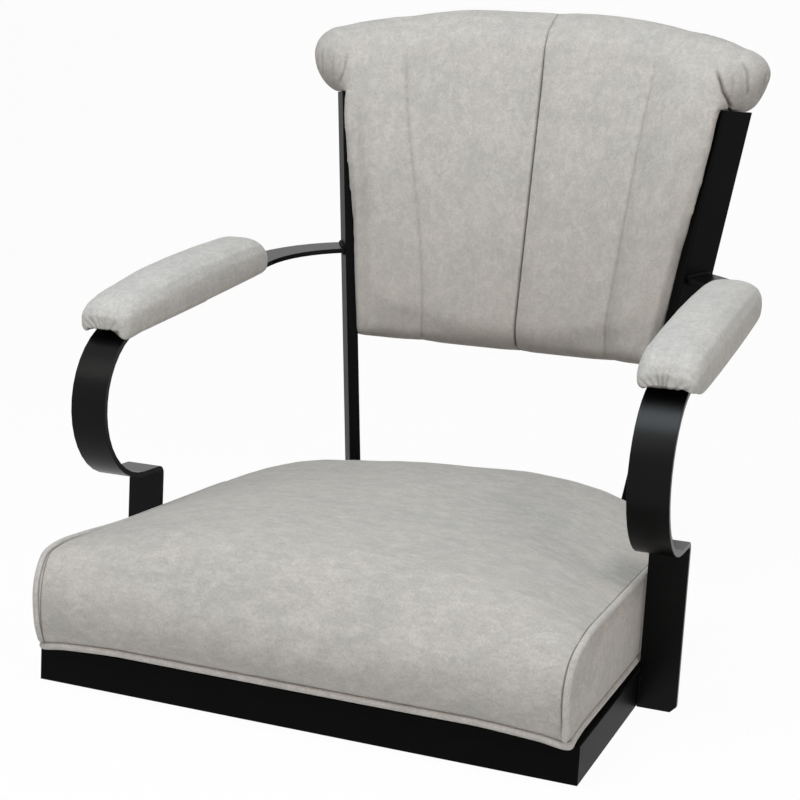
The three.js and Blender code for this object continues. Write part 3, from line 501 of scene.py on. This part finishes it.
@contextmanager
def edited(piece):
    """The piece's mesh as a bmesh, which is written back at the end."""
    bm = bmesh.new()
    bm.from_mesh(piece.data)
    yield bm
    bm.to_mesh(piece.data)
    bm.free()
    piece.data.update()


def surface_of(piece):
    """The piece's surface, on which nearest places can be found."""
    bm = bmesh.new()
    bm.from_mesh(piece.data)
    surface = BVHTree.FromBMesh(bm)
    bm.free()
    return surface


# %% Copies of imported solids
def welded_copy(node, name):
    mesh = nodes[node].data.copy()
    mesh.name = name
    mesh.materials.clear()
    for attribute in ("custom_normal", "sharp_edge", "sharp_face"):
        if attribute in mesh.attributes:
            mesh.attributes.remove(mesh.attributes[attribute])
    piece = bpy.data.objects.new(name, mesh)
    scene.collection.objects.link(piece)
    with edited(piece) as bm:
        bmesh.ops.remove_doubles(bm, verts=bm.verts, dist=0.01 * mm)
    return piece


def bend_of(edge):
    return edge.calc_face_angle(0)


def rounded_steel(name, node, finish, rounding, butt=None, sharp=math.radians(38)):
    piece = welded_copy(node, name)
    with edited(piece) as bm:
        bmesh.ops.dissolve_limit(bm, angle_limit=math.radians(1), verts=bm.verts, edges=bm.edges)
        edges = [e for e in bm.edges if bend_of(e) > sharp]
        edges = [e for e in edges if not (butt and any(butt(f) for f in e.link_faces))]
        bevelled = bmesh.ops.bevel(bm, geom=edges, offset=rounding, offset_type="OFFSET", segments=3,
                                   profile=0.5, affect="EDGES", material=-1, clamp_overlap=True,
                                   loop_slide=True)
        rounds = set(bevelled["faces"])
        mark = bm.verts.layers.float.new("edge")
        for v in bm.verts:
            v[mark] = float(all(face in rounds for face in v.link_faces))
        for face in bm.faces:
            face.smooth = True
        for e in bm.edges:
            e.smooth = bend_of(e) < sharp
    weighted = piece.modifiers.new("flat faces stay flat", "WEIGHTED_NORMAL")
    weighted.keep_sharp = True
    piece.data.materials.append(finish.material)
    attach(piece, "seat_head")
    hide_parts(node)
    return piece


side_rail_end = 0.15  # where the side rails butt on the rear rail


def at_any_butt(face):
    """Whether a face is cut at 45 degrees near the front, or squarely at the side rails' rear ends."""
    y = face.calc_center_median().y
    mitred = y < -180 * mm and abs(face.normal.x) > 0.3 and abs(face.normal.y) > 0.3
    return mitred or (abs(face.normal.y) > 0.9 and abs(y - side_rail_end) < 2 * mm)


def close_joint(piece):
    """Grinding filled the hair of space between the rails, so the side rail's rear end moves into it."""
    co = coordinates(piece)
    at_end = np.abs(co[:, 1] - side_rail_end) < 1 * mm
    co[at_end, 1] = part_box("rear_rail")[0].y + 0.05 * mm
    move_to(piece, co)


# %% Rails, bars and tubes
steel_pieces = [
    rounded_steel("seat_frame_front", "front_rail", powder_coat, 0.9 * mm, at_any_butt),
    rounded_steel("seat_frame_rear", "rear_rail", powder_coat, 0.9 * mm, at_any_butt),
    rounded_steel("cross_strap_front", "front_cross_strap", powder_coat, 0.6 * mm),
    rounded_steel("cross_strap_rear", "rear_cross_strap", powder_coat, 0.6 * mm),
    rounded_steel("back_bar_lower", "lower_back_rail", powder_coat, 0.6 * mm),
    rounded_steel("back_bar_upper", "upper_back_rail", powder_coat, 0.6 * mm),
]
for side in ("left", "right"):
    steel_pieces += [
        rounded_steel(f"seat_frame_{side}", f"{side}_side_rail", powder_coat, 0.9 * mm, at_any_butt),
        rounded_steel(f"arm_bar_{side}", f"{side}_arm", polished_coat, 0.8 * mm),
        rounded_steel(f"back_post_{side}", f"{side}_back_tube", powder_coat, 0.35 * mm),
    ]
    close_joint(steel_pieces[-3])
print("steel:", len(steel_pieces), "rounded pieces")

# %% [markdown]
# ## Hardware that stays as packed
#
# The swivel, its bolts and nuts, the screws and the boards have the right shape already. They keep their
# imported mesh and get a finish, and a Weld and a Bevel modifier break their edges without touching it.

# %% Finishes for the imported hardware
def dress(node, finish, rounding):
    part = nodes[node]
    part.material_slots[0].material = finish.material
    weld = part.modifiers.new("joined faces", "WELD")
    weld.merge_threshold = 0.01 * mm
    bevel = part.modifiers.new("broken edges", "BEVEL")
    bevel.width = rounding
    bevel.segments = 2
    bevel.limit_method = "ANGLE"
    bevel.angle_limit = math.radians(40)


boards = {"seat_board": seat_birch, "back_board": back_birch,
          "left_arm_pad_board": seat_birch, "right_arm_pad_board": seat_birch}
hardware = [n for n in nodes if "screw" in n or n.startswith("swivel")]
for node in hardware:
    dress(node, nylon if node == "swivel_bearing_ring" else zinc, 0.3 * mm)
for node, finish in boards.items():
    dress(node, finish, 0.7 * mm)
print("hardware:", len(hardware), "metal and nylon pieces,", len(boards), "boards")

# %% [markdown]
# ## Weld beads
#
# The arms, posts and rails are held by short fillet welds. A bead is a row of overlapping puddles, so a
# cylinder is cut across into slices, and each slice is swollen or pinched to ripple it. Both ends taper,
# as they do where the arc was struck and broken. Each bead lies in the corner that it fills.

# %% Weld beads
def weld_bead(name, start, end, radius, ripple=2.2 * mm):
    start, end = Vector(start), Vector(end)
    along = end - start
    slices = max(int(along.length / ripple) * 4, 8)
    bm = bmesh.new()
    bmesh.ops.create_cone(bm, cap_ends=True, segments=10, radius1=radius, radius2=radius, depth=along.length)
    lengthwise = [e for e in bm.edges if abs(e.verts[0].co.z - e.verts[1].co.z) > along.length / 2]
    bmesh.ops.subdivide_edges(bm, edges=lengthwise, cuts=slices, use_grid_fill=True)
    for v in bm.verts:
        travelled = v.co.z + along.length / 2
        to_end = min(travelled, along.length - travelled)
        swell = 0.86 + 0.14 * abs(math.sin(math.pi * travelled / ripple))
        taper = min(1, 0.45 + to_end / (2 * radius))
        v.co.x *= swell * taper
        v.co.y *= swell * taper
    turn = Vector((0, 0, 1)).rotation_difference(along.normalized()).to_matrix().to_4x4()
    bmesh.ops.transform(bm, matrix=Matrix.Translation((start + end) / 2) @ turn, verts=bm.verts)
    mesh = bpy.data.meshes.new(name)
    bm.to_mesh(mesh)
    bm.free()
    mesh.shade_smooth()
    mesh.materials.append(powder_coat.material)
    bead = bpy.data.objects.new(name, mesh)
    scene.collection.objects.link(bead)
    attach(bead, "seat_head")


# %% Beads at the joints
rail_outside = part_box("right_side_rail")[1].x - 0.8 * mm
joints = {
    "arm_foot_front": ((rail_outside, -32.2 * mm, 3 * mm), (rail_outside, -32.2 * mm, 29 * mm), 1.7),
    "arm_foot_rear": ((rail_outside, -26.8 * mm, 3 * mm), (rail_outside, -26.8 * mm, 29 * mm), 1.7),
    "arm_end_top": ((0.1899, 0.2741, 0.3505), (0.2071, 0.3029, 0.3550), 3.2),
    "arm_end_under": ((0.1900, 0.2748, 0.3447), (0.2072, 0.3036, 0.3492), 3.0),
    "back_post_inner": ((0.1312, 0.2308, 0.003), (0.1312, 0.2308, 0.029), 1.5),
    "back_bar_lower": ((0.1776, 0.2872, 0.268), (0.1815, 0.2905, 0.295), 1.4),
    "back_bar_upper": ((0.2045, 0.3136, 0.472), (0.2085, 0.3170, 0.499), 1.4),
}
for joint, (start, end, radius) in joints.items():
    weld_bead(f"weld_{joint}_right", start, end, radius * mm)
    weld_bead(f"weld_{joint}_left", (-start[0], *start[1:]), (-end[0], *end[1:]), radius * mm)
print("welds:", 2 * len(joints), "beads")

# %% [markdown]
# ## Filling the cushions
#
# A cushion starts as a welded copy of its packed form, which has the crown, the drawn-in sides and the
# rolled top, but only a few hundred flat faces. It is remeshed into small even squares, drawn in slightly,
# and then blown up as cloth under pressure, which gives the soft swell between seams that only a filled
# bag has. A cap on how far a point may move keeps it clear of the frame. One subdivision then follows.

# %% Remeshing and stuffing
def apply_modifiers(piece):
    depsgraph = bpy.context.evaluated_depsgraph_get()
    finished = bpy.data.meshes.new_from_object(piece.evaluated_get(depsgraph))
    piece.modifiers.clear()
    old = piece.data
    piece.data = finished
    finished.name = old.name
    bpy.data.meshes.remove(old)


def remesh(piece, voxel, smoothing, slope=0):
    """Even squares, smoothed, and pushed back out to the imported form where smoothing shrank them.

    A sloping piece is laid level first, so that its long edges run along the squares and don't step."""
    piece.data.transform(Matrix.Rotation(-slope, 4, "X"))
    packed_form = surface_of(piece)
    modifier = piece.modifiers.new("even squares", "REMESH")
    modifier.mode = "VOXEL"
    modifier.voxel_size = voxel
    modifier.adaptivity = 0
    apply_modifiers(piece)
    with edited(piece) as bm:
        for _ in range(smoothing):
            bmesh.ops.smooth_vert(bm, verts=bm.verts, factor=0.5,
                                  use_axis_x=True, use_axis_y=True, use_axis_z=True)
        bm.normal_update()
        for v in bm.verts:
            place, outward, _, away = packed_form.find_nearest(v.co)
            if (v.co - place).dot(outward) < 0:
                v.co += v.normal * min(away, 3 * mm)
    piece.data.transform(Matrix.Rotation(slope, 4, "X"))
    piece.data.update()


def evened(piece, value, rounds):
    """A value at each point, averaged with its neighbours' a few times."""
    ends = np.empty(len(piece.data.edges) * 2, dtype=int)
    piece.data.edges.foreach_get("vertices", ends)
    a, b, count = ends[::2], ends[1::2], len(value)
    neighbours = np.bincount(ends, minlength=count)
    for _ in range(rounds):
        total = np.bincount(a, value[b], count) + np.bincount(b, value[a], count)
        value = 0.5 * value + 0.5 * total / neighbours
    return value


velour_cloth = {"quality": 4, "mass": 0.3, "tension_stiffness": 12, "compression_stiffness": 12,
                "shear_stiffness": 6, "bending_stiffness": 0.6, "use_pressure": True}


def stuff(piece, pressure, reach, held=None, draw_in=2 * mm, frames=20):
    """Swells the piece as cloth; held is from 0, free, to 1, sewn down, for each point."""
    rest, outward = coordinates(piece), normals(piece)
    held = np.zeros(len(rest)) if held is None else held
    move_to(piece, rest - outward * draw_in * (1 - held[:, None]))
    group = piece.vertex_groups.new(name="sewn")
    for i in np.flatnonzero(held > 0.01):
        group.add([int(i)], float(held[i]), "REPLACE")
    cloth = piece.modifiers.new("stuffing", "CLOTH")
    for name, value in velour_cloth.items():
        setattr(cloth.settings, name, value)
    cloth.settings.uniform_pressure_force = pressure
    cloth.settings.effector_weights.gravity = 0
    cloth.settings.vertex_group_mass = "sewn"
    cloth.point_cache.frame_start = 1
    cloth.point_cache.frame_end = frames
    for number in range(1, frames + 1):
        scene.frame_set(number)
    swollen = np.empty(len(rest) * 3)
    evaluated = piece.evaluated_get(bpy.context.evaluated_depsgraph_get())
    evaluated.data.vertices.foreach_get("co", swollen)
    swell = ((swollen.reshape(-1, 3) - rest) * outward).sum(axis=1)
    kept = evened(piece, np.clip(swell, 0, reach) * (1 - held), 6)
    piece.modifiers.remove(cloth)
    piece.vertex_groups.clear()
    scene.frame_set(1)
    move_to(piece, rest + outward * kept[:, None])
    swelled, most, mean = (round(float(v) / mm, 1) for v in (swell.max(), kept.max(), kept.mean()))
    print(piece.name, "swelled by", swelled, "mm, kept at most", most, "mm and", mean, "mm on average")


def finer(piece, levels=1):
    modifier = piece.modifiers.new("finer", "SUBSURF")
    modifier.levels = modifier.render_levels = levels
    apply_modifiers(piece)


def finish_soft(piece, finish, slot, *replaced, fill=None):
    piece.data.materials.clear()
    piece.data.materials.append(finish.material)
    piece.data.shade_smooth()
    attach(piece, "seat_head")
    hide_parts(*replaced)
    print(piece.name, "has", len(piece.data.vertices), "points")


def near(distance, width):
    """One on a line, and nothing some widths away from it."""
    return np.exp(-(distance / width) ** 2)


def ramp(value, low, high):
    """Zero up to low, one from high, and smooth between them."""
    t = np.clip((value - low) / (high - low), 0, 1)
    return t * t * (3 - 2 * t)


def ramp_mm(value, low, high):
    """A ramp between two lengths in mm."""
    return ramp(value, low * mm, high * mm)


# %% [markdown]
# ## Seat cushion
#
# The cover has a long panel that runs from the back, over the crown and down the front, and a side panel at
# each end. Piping is sewn into the seam between them. So the points along that seam are held while the
# panels swell, and the swelling makes the valley that the piping lies in.

# %% Seat cushion
def seat_share(y):
    """How wide the tapering frame is at a place along its depth, as a share of its front."""
    behind, ahead_of_frame = np.maximum(y - seat_front, 0), np.maximum(seat_front - y, 0)
    return 1 - taper_per_metre * behind - tuck_per_metre * ahead_of_frame


def settled(co):
    """The front corners hang off the frame, one side bulges a little, and the foam is uneven behind."""
    x, y, z = co.T
    aside = np.abs(x)
    corner = ramp_mm(aside, 150, 236) * ramp_mm(-y, 225, 240)
    corner *= 1 - ramp_mm(z, 46, 80)
    seam_end = ramp_mm(aside, 208, 236) * ramp_mm(-y, 200, 240)
    seam_end *= 1 - ramp_mm(z, 42, 58)
    low_left = near(x + 105 * mm, 70 * mm) * ramp_mm(y, -40, 120)
    full_right = ramp_mm(x, 0, 90) * (1 - ramp_mm(x, 120, 220)) * ramp_mm(y, -20, 120)
    high = ramp_mm(z, 50, 85)
    bulge = ramp_mm(-x, 200, 232) * near(z - 88 * mm, 28 * mm) * ramp_mm(-y, 110, 190)
    down = 4.2 * mm * corner + 2.6 * mm * seam_end + (4.5 * mm * low_left - 4.0 * mm * full_right) * high
    return co - np.column_stack([2.2 * mm * bulge, 0 * y, down])


seat_cushion = welded_copy("seat_cushion", "seat_pad")
remesh(seat_cushion, 5 * mm, smoothing=3)
co = coordinates(seat_cushion)
across = np.abs(co[:, 0]) / seat_share(co[:, 1])
on_long_panel = np.abs(normals(seat_cushion)[:, 0]) < 0.93
at_foot = ramp_mm(-co[:, 2], -48, -43)
sewn = np.maximum(near(across - seat_half, 5 * mm) * on_long_panel, at_foot)
stuff(seat_cushion, 4, 7 * mm, held=sewn)
finer(seat_cushion)

co = coordinates(seat_cushion)
arm_foot, frame_rear = -29.5 * mm, 224.5 * mm
widest = 239.3 * mm - 1.2 * mm * near(co[:, 1] - arm_foot, 26 * mm)
co[:, 0] = np.sign(co[:, 0]) * np.minimum(np.abs(co[:, 0]), widest * seat_share(co[:, 1]))
co[:, 1] = np.minimum(co[:, 1], frame_rear)
co[:, 2] = np.maximum(co[:, 2], board_top + 0.3 * mm)
move_to(seat_cushion, settled(co))

# %% [markdown]
# ## Piping
#
# Piping is a cord wrapped in a strip of the cover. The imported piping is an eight-sided tube along the seam.
# Subdividing it makes it round, and pulls it in, so its points are moved back out along their normals.

# %% Piping
def piping(name, node, thicken, sunk=0, longer=0):
    """The left one sinks into the cushion behind, and the side ones reach down to the bottom one."""
    piece = welded_copy(node, name)
    with edited(piece) as bm:
        bmesh.ops.join_triangles(bm, faces=bm.faces, angle_face_threshold=math.pi,
                                 angle_shape_threshold=math.pi)
    finer(piece, levels=2)
    co = coordinates(piece) + normals(piece) * thicken
    behind, high = ramp_mm(co[:, 1], -215, -90), ramp_mm(co[:, 2], 60, 75)
    down = sunk * behind * high + longer * (1 - ramp_mm(co[:, 2], 46, 66))
    inwards = 0.75 * longer * (1 - ramp_mm(co[:, 2], 46, 60))
    co = settled(co)
    co[:, 2] -= down
    co[:, 0] -= np.sign(co[:, 0]) * inwards
    move_to(piece, co)
    finish_soft(piece, piping_velour, "piping", node)
    return piece


seat_pipings = [
    piping("piping_right", "right_side_piping", 0.1 * mm, longer=2.8 * mm),
    piping("piping_left", "left_side_piping", 0.1 * mm, sunk=4.5 * mm, longer=2.8 * mm),
    piping("piping_bottom", "bottom_piping", 0.3 * mm),
]

# %% [markdown]
# The cover is sewn to its piping, so no light shows between them. Each point of the cushion near a piping is
# drawn on to it, wholly where they nearly touch and less with distance, which makes a small valley.

# %% Cushion sewn to its piping
def sew_to(piece, cord, valley=3.6 * mm):
    surface = surface_of(cord)
    co = coordinates(piece)
    drawn = 0
    for i, point in enumerate(co):
        place, outward, _, away = surface.find_nearest(Vector(point), 3 * valley)
        if place and (Vector(point) - place).dot(outward) > 0:
            co[i] += (np.array(place) - point) * math.exp(-(away / valley) ** 2)
            drawn += 1
    move_to(piece, co)
    print(piece.name, "has", drawn, "points drawn to", cord.name)


for cord in seat_pipings:
    sew_to(seat_cushion, cord)
finish_soft(seat_cushion, seat_velour, "velvet", "seat_cushion", fill=0.8)

# %% [markdown]
# ## Back cushion
#
# The back is a fluted pad that turns over at the top into a roll, wider than the posts. It has one deep seam
# down the middle and a faint one on each side. All three follow the curve of the back, so each point's
# place is first read in the back's own terms: a share of its half width, a height and a depth.

# %% The back's own coordinates
def in_back(co):
    x, y, z = co[:, 0], co[:, 1] - back_foot.y, co[:, 2]
    ahead_of_foot = y * math.cos(back_lean) - z * math.sin(back_lean)
    height = y * math.sin(back_lean) + z * math.cos(back_lean)
    radius = (foot_half_width + height * math.tan(back_flare)) / math.sin(back_turn)
    reach = ahead_of_foot + radius * math.cos(back_turn)
    share = np.arctan2(x, reach) / back_turn
    return share, height, np.hypot(x, reach) - radius


back_cushion = welded_copy("back_cushion", "back_pad")
remesh(back_cushion, 5 * mm, smoothing=8)
stuff(back_cushion, 4, 6 * mm)
finer(back_cushion)

# %% [markdown]
# The middle seam is a fold that swallows light, narrower than a square of the mesh. The mesh is cut along
# five planes beside it first, so that there are points exactly on the seam to pull in.

# %% Seams of the back
def cut_along(piece, offsets):
    with edited(piece) as bm:
        for x in offsets:
            bmesh.ops.bisect_plane(bm, geom=[*bm.verts, *bm.edges, *bm.faces], dist=1e-6,
                                   plane_co=(x, 0, 0), plane_no=(1, 0, 0))


co = coordinates(back_cushion)
co[:, 0] += middle_shift * near(co[:, 0], 60 * mm)
share, height, _ = in_back(co)
x = co[:, 0].copy()
on_roll = ramp_mm(height, 545, 600)
full_left = ramp_mm(-x, 20, 110) * (1 - 0.6 * ramp_mm(-x, 190, 250))
low_right = ramp_mm(x, 40, 230) + 0.7 * ramp_mm(x, 215, 250)
co[:, 0] -= 5 * mm * ramp(-share, 0.6, 0.85) * (1 - ramp_mm(height, 290, 430))
co[:, 2] += (4.0 * mm * full_left - 3.4 * mm * low_right) * on_roll
co[:, 2] += 2.4 * mm * near(x + 222 * mm, 20 * mm) * on_roll
co[:, 2] -= 2.6 * mm * (1 - ramp_mm(height - height.min(), 0, 40))
co[:, 0] -= 2.6 * mm * ramp_mm(np.abs(x), 190, 240) * ramp_mm(height, 520, 545)
move_to(back_cushion, co)
cut_along(back_cushion, [middle_shift + offset * mm for offset in (-2.2, -1.1, 0, 1.1, 2.2)])

# %% [markdown]
# Where the roll's cover is folded in over the posts it gathers into a few creases. Each is a short line in
# space that lies on the roll. The mesh is split finer round them, and points near a line are pulled in.

# %% Creases at the ends of the roll
creases = [  # depth and width in mm, then the line
    (4.6, 1.6, [(0.1975, 0.289, 0.56), (0.2035, 0.2835, 0.5497), (0.2097, 0.2826, 0.5381),
                (0.2112, 0.3, 0.529), (0.2108, 0.312, 0.5262)]),
    (1.9, 1.4, [(0.224, 0.289, 0.57), (0.23, 0.289, 0.56), (0.2322, 0.29, 0.55), (0.2309, 0.2988, 0.5368)]),
    (1.6, 1.4, [(0.25, 0.306, 0.56), (0.2486, 0.3061, 0.5525), (0.2431, 0.3142, 0.5393),
                (0.235, 0.322, 0.533)]),
    (1.0, 1.6, [(0.215, 0.285, 0.556), (0.218, 0.285, 0.544), (0.217, 0.295, 0.532)]),
    (1.7, 1.6, [(-0.204, 0.287, 0.56), (-0.2057, 0.2855, 0.553), (-0.209, 0.285, 0.54),
                (-0.212, 0.296, 0.531)]),
    (1.4, 1.6, [(-0.234, 0.293, 0.562), (-0.237, 0.293, 0.55), (-0.235, 0.302, 0.538)]),
    (0.7, 2.0, [(-0.22, 0.288, 0.56), (-0.223, 0.288, 0.548), (-0.222, 0.296, 0.537)]),
]


def distance_to_line(co, line):
    """How far each point is from a line through several places, and how far along it, from 0 to 1."""
    line = np.array(line)
    best, where = np.full(len(co), np.inf), np.zeros(len(co))
    for i, (a, b) in enumerate(zip(line[:-1], line[1:])):
        t = np.clip((co - a) @ (b - a) / ((b - a) @ (b - a)), 0, 1)
        away = np.linalg.norm(co - a - t[:, None] * (b - a), axis=1)
        closer = away < best
        best[closer], where[closer] = away[closer], (i + t[closer]) / (len(line) - 1)
    return best, where


def split_near(piece, close):
    """Splits the faces round the chosen points into four."""
    with edited(piece) as bm:
        bm.verts.ensure_lookup_table()
        chosen = {f for i in np.flatnonzero(close) for f in bm.verts[int(i)].link_faces}
        edges = {e for f in chosen for e in f.edges}
        bmesh.ops.subdivide_edges(bm, edges=list(edges), cuts=1, use_grid_fill=True)


def smooth_over(piece, weight, rounds):
    """Averages the places of neighbouring points, as far as each point's weight says."""
    co = coordinates(piece)
    weight = weight[:, None]
    for _ in range(rounds):
        co = co + weight * (np.column_stack([evened(piece, co[:, axis], 1) for axis in range(3)]) - co)
    move_to(piece, co)


co = coordinates(back_cushion)
corner_lines = [[(sign * x, y, z) for x, y, z in creases[0][2]] for sign in (1, -1)]
to_corner = np.min([distance_to_line(co, line)[0] for line in corner_lines], axis=0)
low_on_roll = 1 - ramp_mm(co[:, 2], 560, 580)
smooth_over(back_cushion, near(to_corner, 20 * mm) * low_on_roll, 150)
roll_end = ramp_mm(np.abs(co[:, 0]), 190, 225) * ramp_mm(in_back(co)[1], 500, 530)
smooth_over(back_cushion, roll_end, 12)
co = coordinates(back_cushion)
over_post = ramp_mm(np.abs(co[:, 0]), 186, 200) * (1 - ramp_mm(co[:, 2], 528, 556))
post_top = 520.5 * mm
co[:, 2] -= np.minimum(7 * mm * over_post, np.maximum(co[:, 2] - post_top, 0))
move_to(back_cushion, co)
cover = surface_of(back_cushion)


def laid_on(line, step=3 * mm):
    """The line in short steps, with each place moved on to the cover."""
    dense = []
    for a, b in zip(line[:-1], line[1:]):
        a, b = Vector(a), Vector(b)
        count = max(1, round((b - a).length / step))
        dense += [a.lerp(b, i / count) for i in range(count)]
    return [tuple(cover.find_nearest(p)[0]) for p in [*dense, Vector(line[-1])]]


creases = [(deep, width, laid_on(line)) for deep, width, line in creases]
co = coordinates(back_cushion)
split_near(back_cushion, np.min([distance_to_line(co, line)[0] for _, _, line in creases], axis=0) < 7 * mm)

# %% Pull in the seams and creases
# Stores painted shade on the mesh, for the velour's colour to read.
def mark_painted_shade(piece, painted_shade):
    piece.data.attributes.new("painted_shade", "FLOAT", "POINT").data.foreach_set("value", painted_shade)


co, normal = coordinates(back_cushion), normals(back_cushion)
share, height, depth = in_back(co)
half_width = foot_half_width + height * math.tan(back_flare)
in_front = ramp_mm(-depth, -12, -2)
over_top = ramp_mm(height, 560, 590)
sewn_face = np.maximum(in_front, over_top)
off_middle = co[:, 0] - middle_shift
shallower = ramp_mm(height, 535, 585)
pulled = 5.5 * mm * near(off_middle, 1.0 * mm) * (1 - 0.6 * shallower)
pulled = (pulled + 2.6 * mm * near(off_middle, 9 * mm) * (1 - 0.85 * shallower)) * sewn_face
left_seam = (share + 0.55 + 0.13 * ramp_mm(height, 284, 563)) * half_width
right_seam = (share - 0.64) * half_width
below_roll = in_front * (1 - ramp_mm(height, 535, 580))
# Painted shade in the side seams and in the roll's creases, darkest along each fold.
painted_shade = np.zeros(len(co))
for off in (left_seam, right_seam):
    pulled += (1.3 * mm * near(off, 2.4 * mm) + 1.4 * mm * near(off, 14 * mm)) * below_roll
    painted_shade = np.maximum(painted_shade, 0.24 * near(off, 1.6 * mm) * below_roll)
for deep, width, line in creases:
    away, where = distance_to_line(co, line)
    fade = np.minimum(1, 0.25 + 3.5 * np.minimum(where, 1.15 - where))
    pulled += (deep * near(away, width * mm) + 0.15 * deep * near(away, 3 * width * mm)) * mm * fade
    painted_shade = np.maximum(painted_shade, min(0.9, 0.16 * deep) * near(away, 1.3 * mm) * fade)
move_to(back_cushion, co - normal * pulled[:, None])
mark_painted_shade(back_cushion, painted_shade)
finish_soft(back_cushion, back_velour, "velvet", "back_cushion", fill=0.75)

# %% [markdown]
# ## Back panel
#
# Behind the posts a thin upholstered panel hides the boards. It is a board-like sheet with velour pulled
# tight over it, so it isn't blown up, and only its rims are rounded.

# %% Back panel
back_panel = welded_copy("back_outer_panel", "back_cover_panel")
with edited(back_panel) as bm:
    bmesh.ops.dissolve_limit(bm, angle_limit=math.radians(1), verts=bm.verts, edges=bm.edges)
    rims = [e for e in bm.edges if bend_of(e) > math.radians(60)]
    bmesh.ops.bevel(bm, geom=rims, offset=1.8 * mm, offset_type="OFFSET", segments=4, profile=0.5,
                    affect="EDGES", material=-1, clamp_overlap=True)
finish_soft(back_panel, panel_velour, "velvet", "back_outer_panel", fill=0.2)

# %% [markdown]
# ## Arm pads
#
# Each pad is a loaf of foam on a board, wrapped in one piece of velour that is gathered under both ends and
# stapled round the bar. The gathers are small pleats that fan out from the bar, so their phase is the angle
# about the point where the cloth is tucked in, and they fade out within a finger's width.

# %% The pad's own coordinates
arm_slope = math.radians(8.7)
pad_foot = Vector((256.1 * mm, -112.0 * mm, 291.1 * mm))
pad_length = 288 * mm


def in_pad(co, sign):
    """Across the pad, along it from its front end, and above the bar's top face."""
    across = co[:, 0] * sign - pad_foot.x
    y, z = co[:, 1] - pad_foot.y, co[:, 2] - pad_foot.z
    along = y * math.cos(arm_slope) + z * math.sin(arm_slope)
    above = -y * math.sin(arm_slope) + z * math.cos(arm_slope)
    return across, along, above


def closed_form(piece):
    """The piece without the hollow for its board and bar, as the wrapped cover shows it."""
    with edited(piece) as bm:
        hull = bmesh.ops.convex_hull(bm, input=bm.verts)
        inner = {part for kind in ("geom_interior", "geom_unused") for part in hull[kind]}
        inner_verts = [part for part in inner if isinstance(part, bmesh.types.BMVert)]
        bmesh.ops.delete(bm, geom=inner_verts, context="VERTS")
        bmesh.ops.recalc_face_normals(bm, faces=bm.faces)


# %% [markdown]
# No two pads are wrapped alike, so each has its own row of distances in mm: how far its front is tucked up,
# how far its front's inner and outer corners hang, how far its front reaches ahead, how far outwards the pad
# sits, and how deep its pleats are.

# %% Arm pads
pad_up = np.array([0, -math.sin(arm_slope), math.cos(arm_slope)])
pad_along = np.array([0, math.cos(arm_slope), math.sin(arm_slope)])
pad_across = np.array([1, 0, 0])
side_hang, split_length = 4.6 * mm, 22 * mm
hand_made = {
    "right": (4.8, -1.0, -1.0, 0.0, 2.2, 1.7),
    "left": (1.0, 7.0, 2.6, 4.0, 0.0, 0.8),
}

for side, sign in (("right", 1), ("left", -1)):
    tuck, inner_hang, outer_hang, reach, outwards, pleat_depth = (v * mm for v in hand_made[side])
    pad = welded_copy(f"{side}_arm_pad", f"arm_rest_pad_{side}")
    closed_form(pad)
    remesh(pad, 3 * mm, smoothing=4, slope=arm_slope)
    stuff(pad, 3, 2.2 * mm, draw_in=1.5 * mm)
    finer(pad)
    _, along, _ = in_pad(coordinates(pad), sign)
    split_near(pad, (along < split_length) | (along > pad_length - split_length))

    co = coordinates(pad)
    across, along, above = in_pad(co, sign)
    at_front = 1 - ramp_mm(along, 0, 26)
    clear_of_bar = 17.8 * mm - 10 * mm * (1 - ramp_mm(along, 0, 12))
    front_hang = inner_hang + (outer_hang - inner_hang) * ramp_mm(across, -5, 15)
    beside_bar = ramp(np.abs(across), clear_of_bar, 22 * mm)
    hang = side_hang + (front_hang - side_hang) * at_front
    hang = hang * beside_bar * (1 - ramp_mm(above, 1, 15))
    underside = 0.25 * mm + tuck * (1 - ramp_mm(along, 0, 9))
    lifted = np.maximum(underside - above, 0) * (1 - beside_bar)
    rise = evened(pad, lifted - hang, 5)
    forward = evened(pad, reach * (1 - ramp_mm(along, 0, 70)), 2)
    lowered = 0.9 * reach * (1 - ramp_mm(along, 10, 110)) * ramp_mm(above, 8, 30)
    co = co + (rise - lowered)[:, None] * pad_up - forward[:, None] * pad_along
    move_to(pad, co + outwards * sign * pad_across)

    co, normal = coordinates(pad), normals(pad)
    across, along, above = in_pad(co, sign)
    to_end = np.minimum(along + reach, pad_length - along)
    above_tuck = above + 7 * mm
    angle = np.arctan2(across, above_tuck)
    from_tuck = np.hypot(across, above_tuck) - 17 * mm
    pleat = (0.5 + 0.5 * np.cos(angle * 19 + 2.2 * np.sin(3 * angle + sign) + 1.2 * np.sin(7 * angle))) ** 1.6
    pleat *= 0.65 + 0.35 * np.sin(5 * angle + 2 * sign)
    fan = near(np.maximum(from_tuck, 0), 7 * mm) * (1 - ramp_mm(to_end, 5, 15))
    low_at_side = ramp_mm(np.abs(across), 19, 25) * (1 - ramp_mm(above, 2, 8))
    fan *= ramp_mm(above, -3, 1) * (1 - low_at_side)
    move_to(pad, co - normal * (pleat_depth * pleat * fan)[:, None])
    # Painted shade in the pleats, and on the pad's underside just above the bar at its front.
    on_bar = 1 - ramp_mm(np.abs(across), 15, 18)
    under_lip = (1 - ramp_mm(above, 0.6, 3)) * on_bar * (along < 30 * mm)
    mark_painted_shade(pad, np.maximum(0.2 * pleat * fan * pleat_depth / mm, 0.9 * under_lip))
    finish_soft(pad, pad_velour, "velvet", f"{side}_arm_pad", fill=0.7)
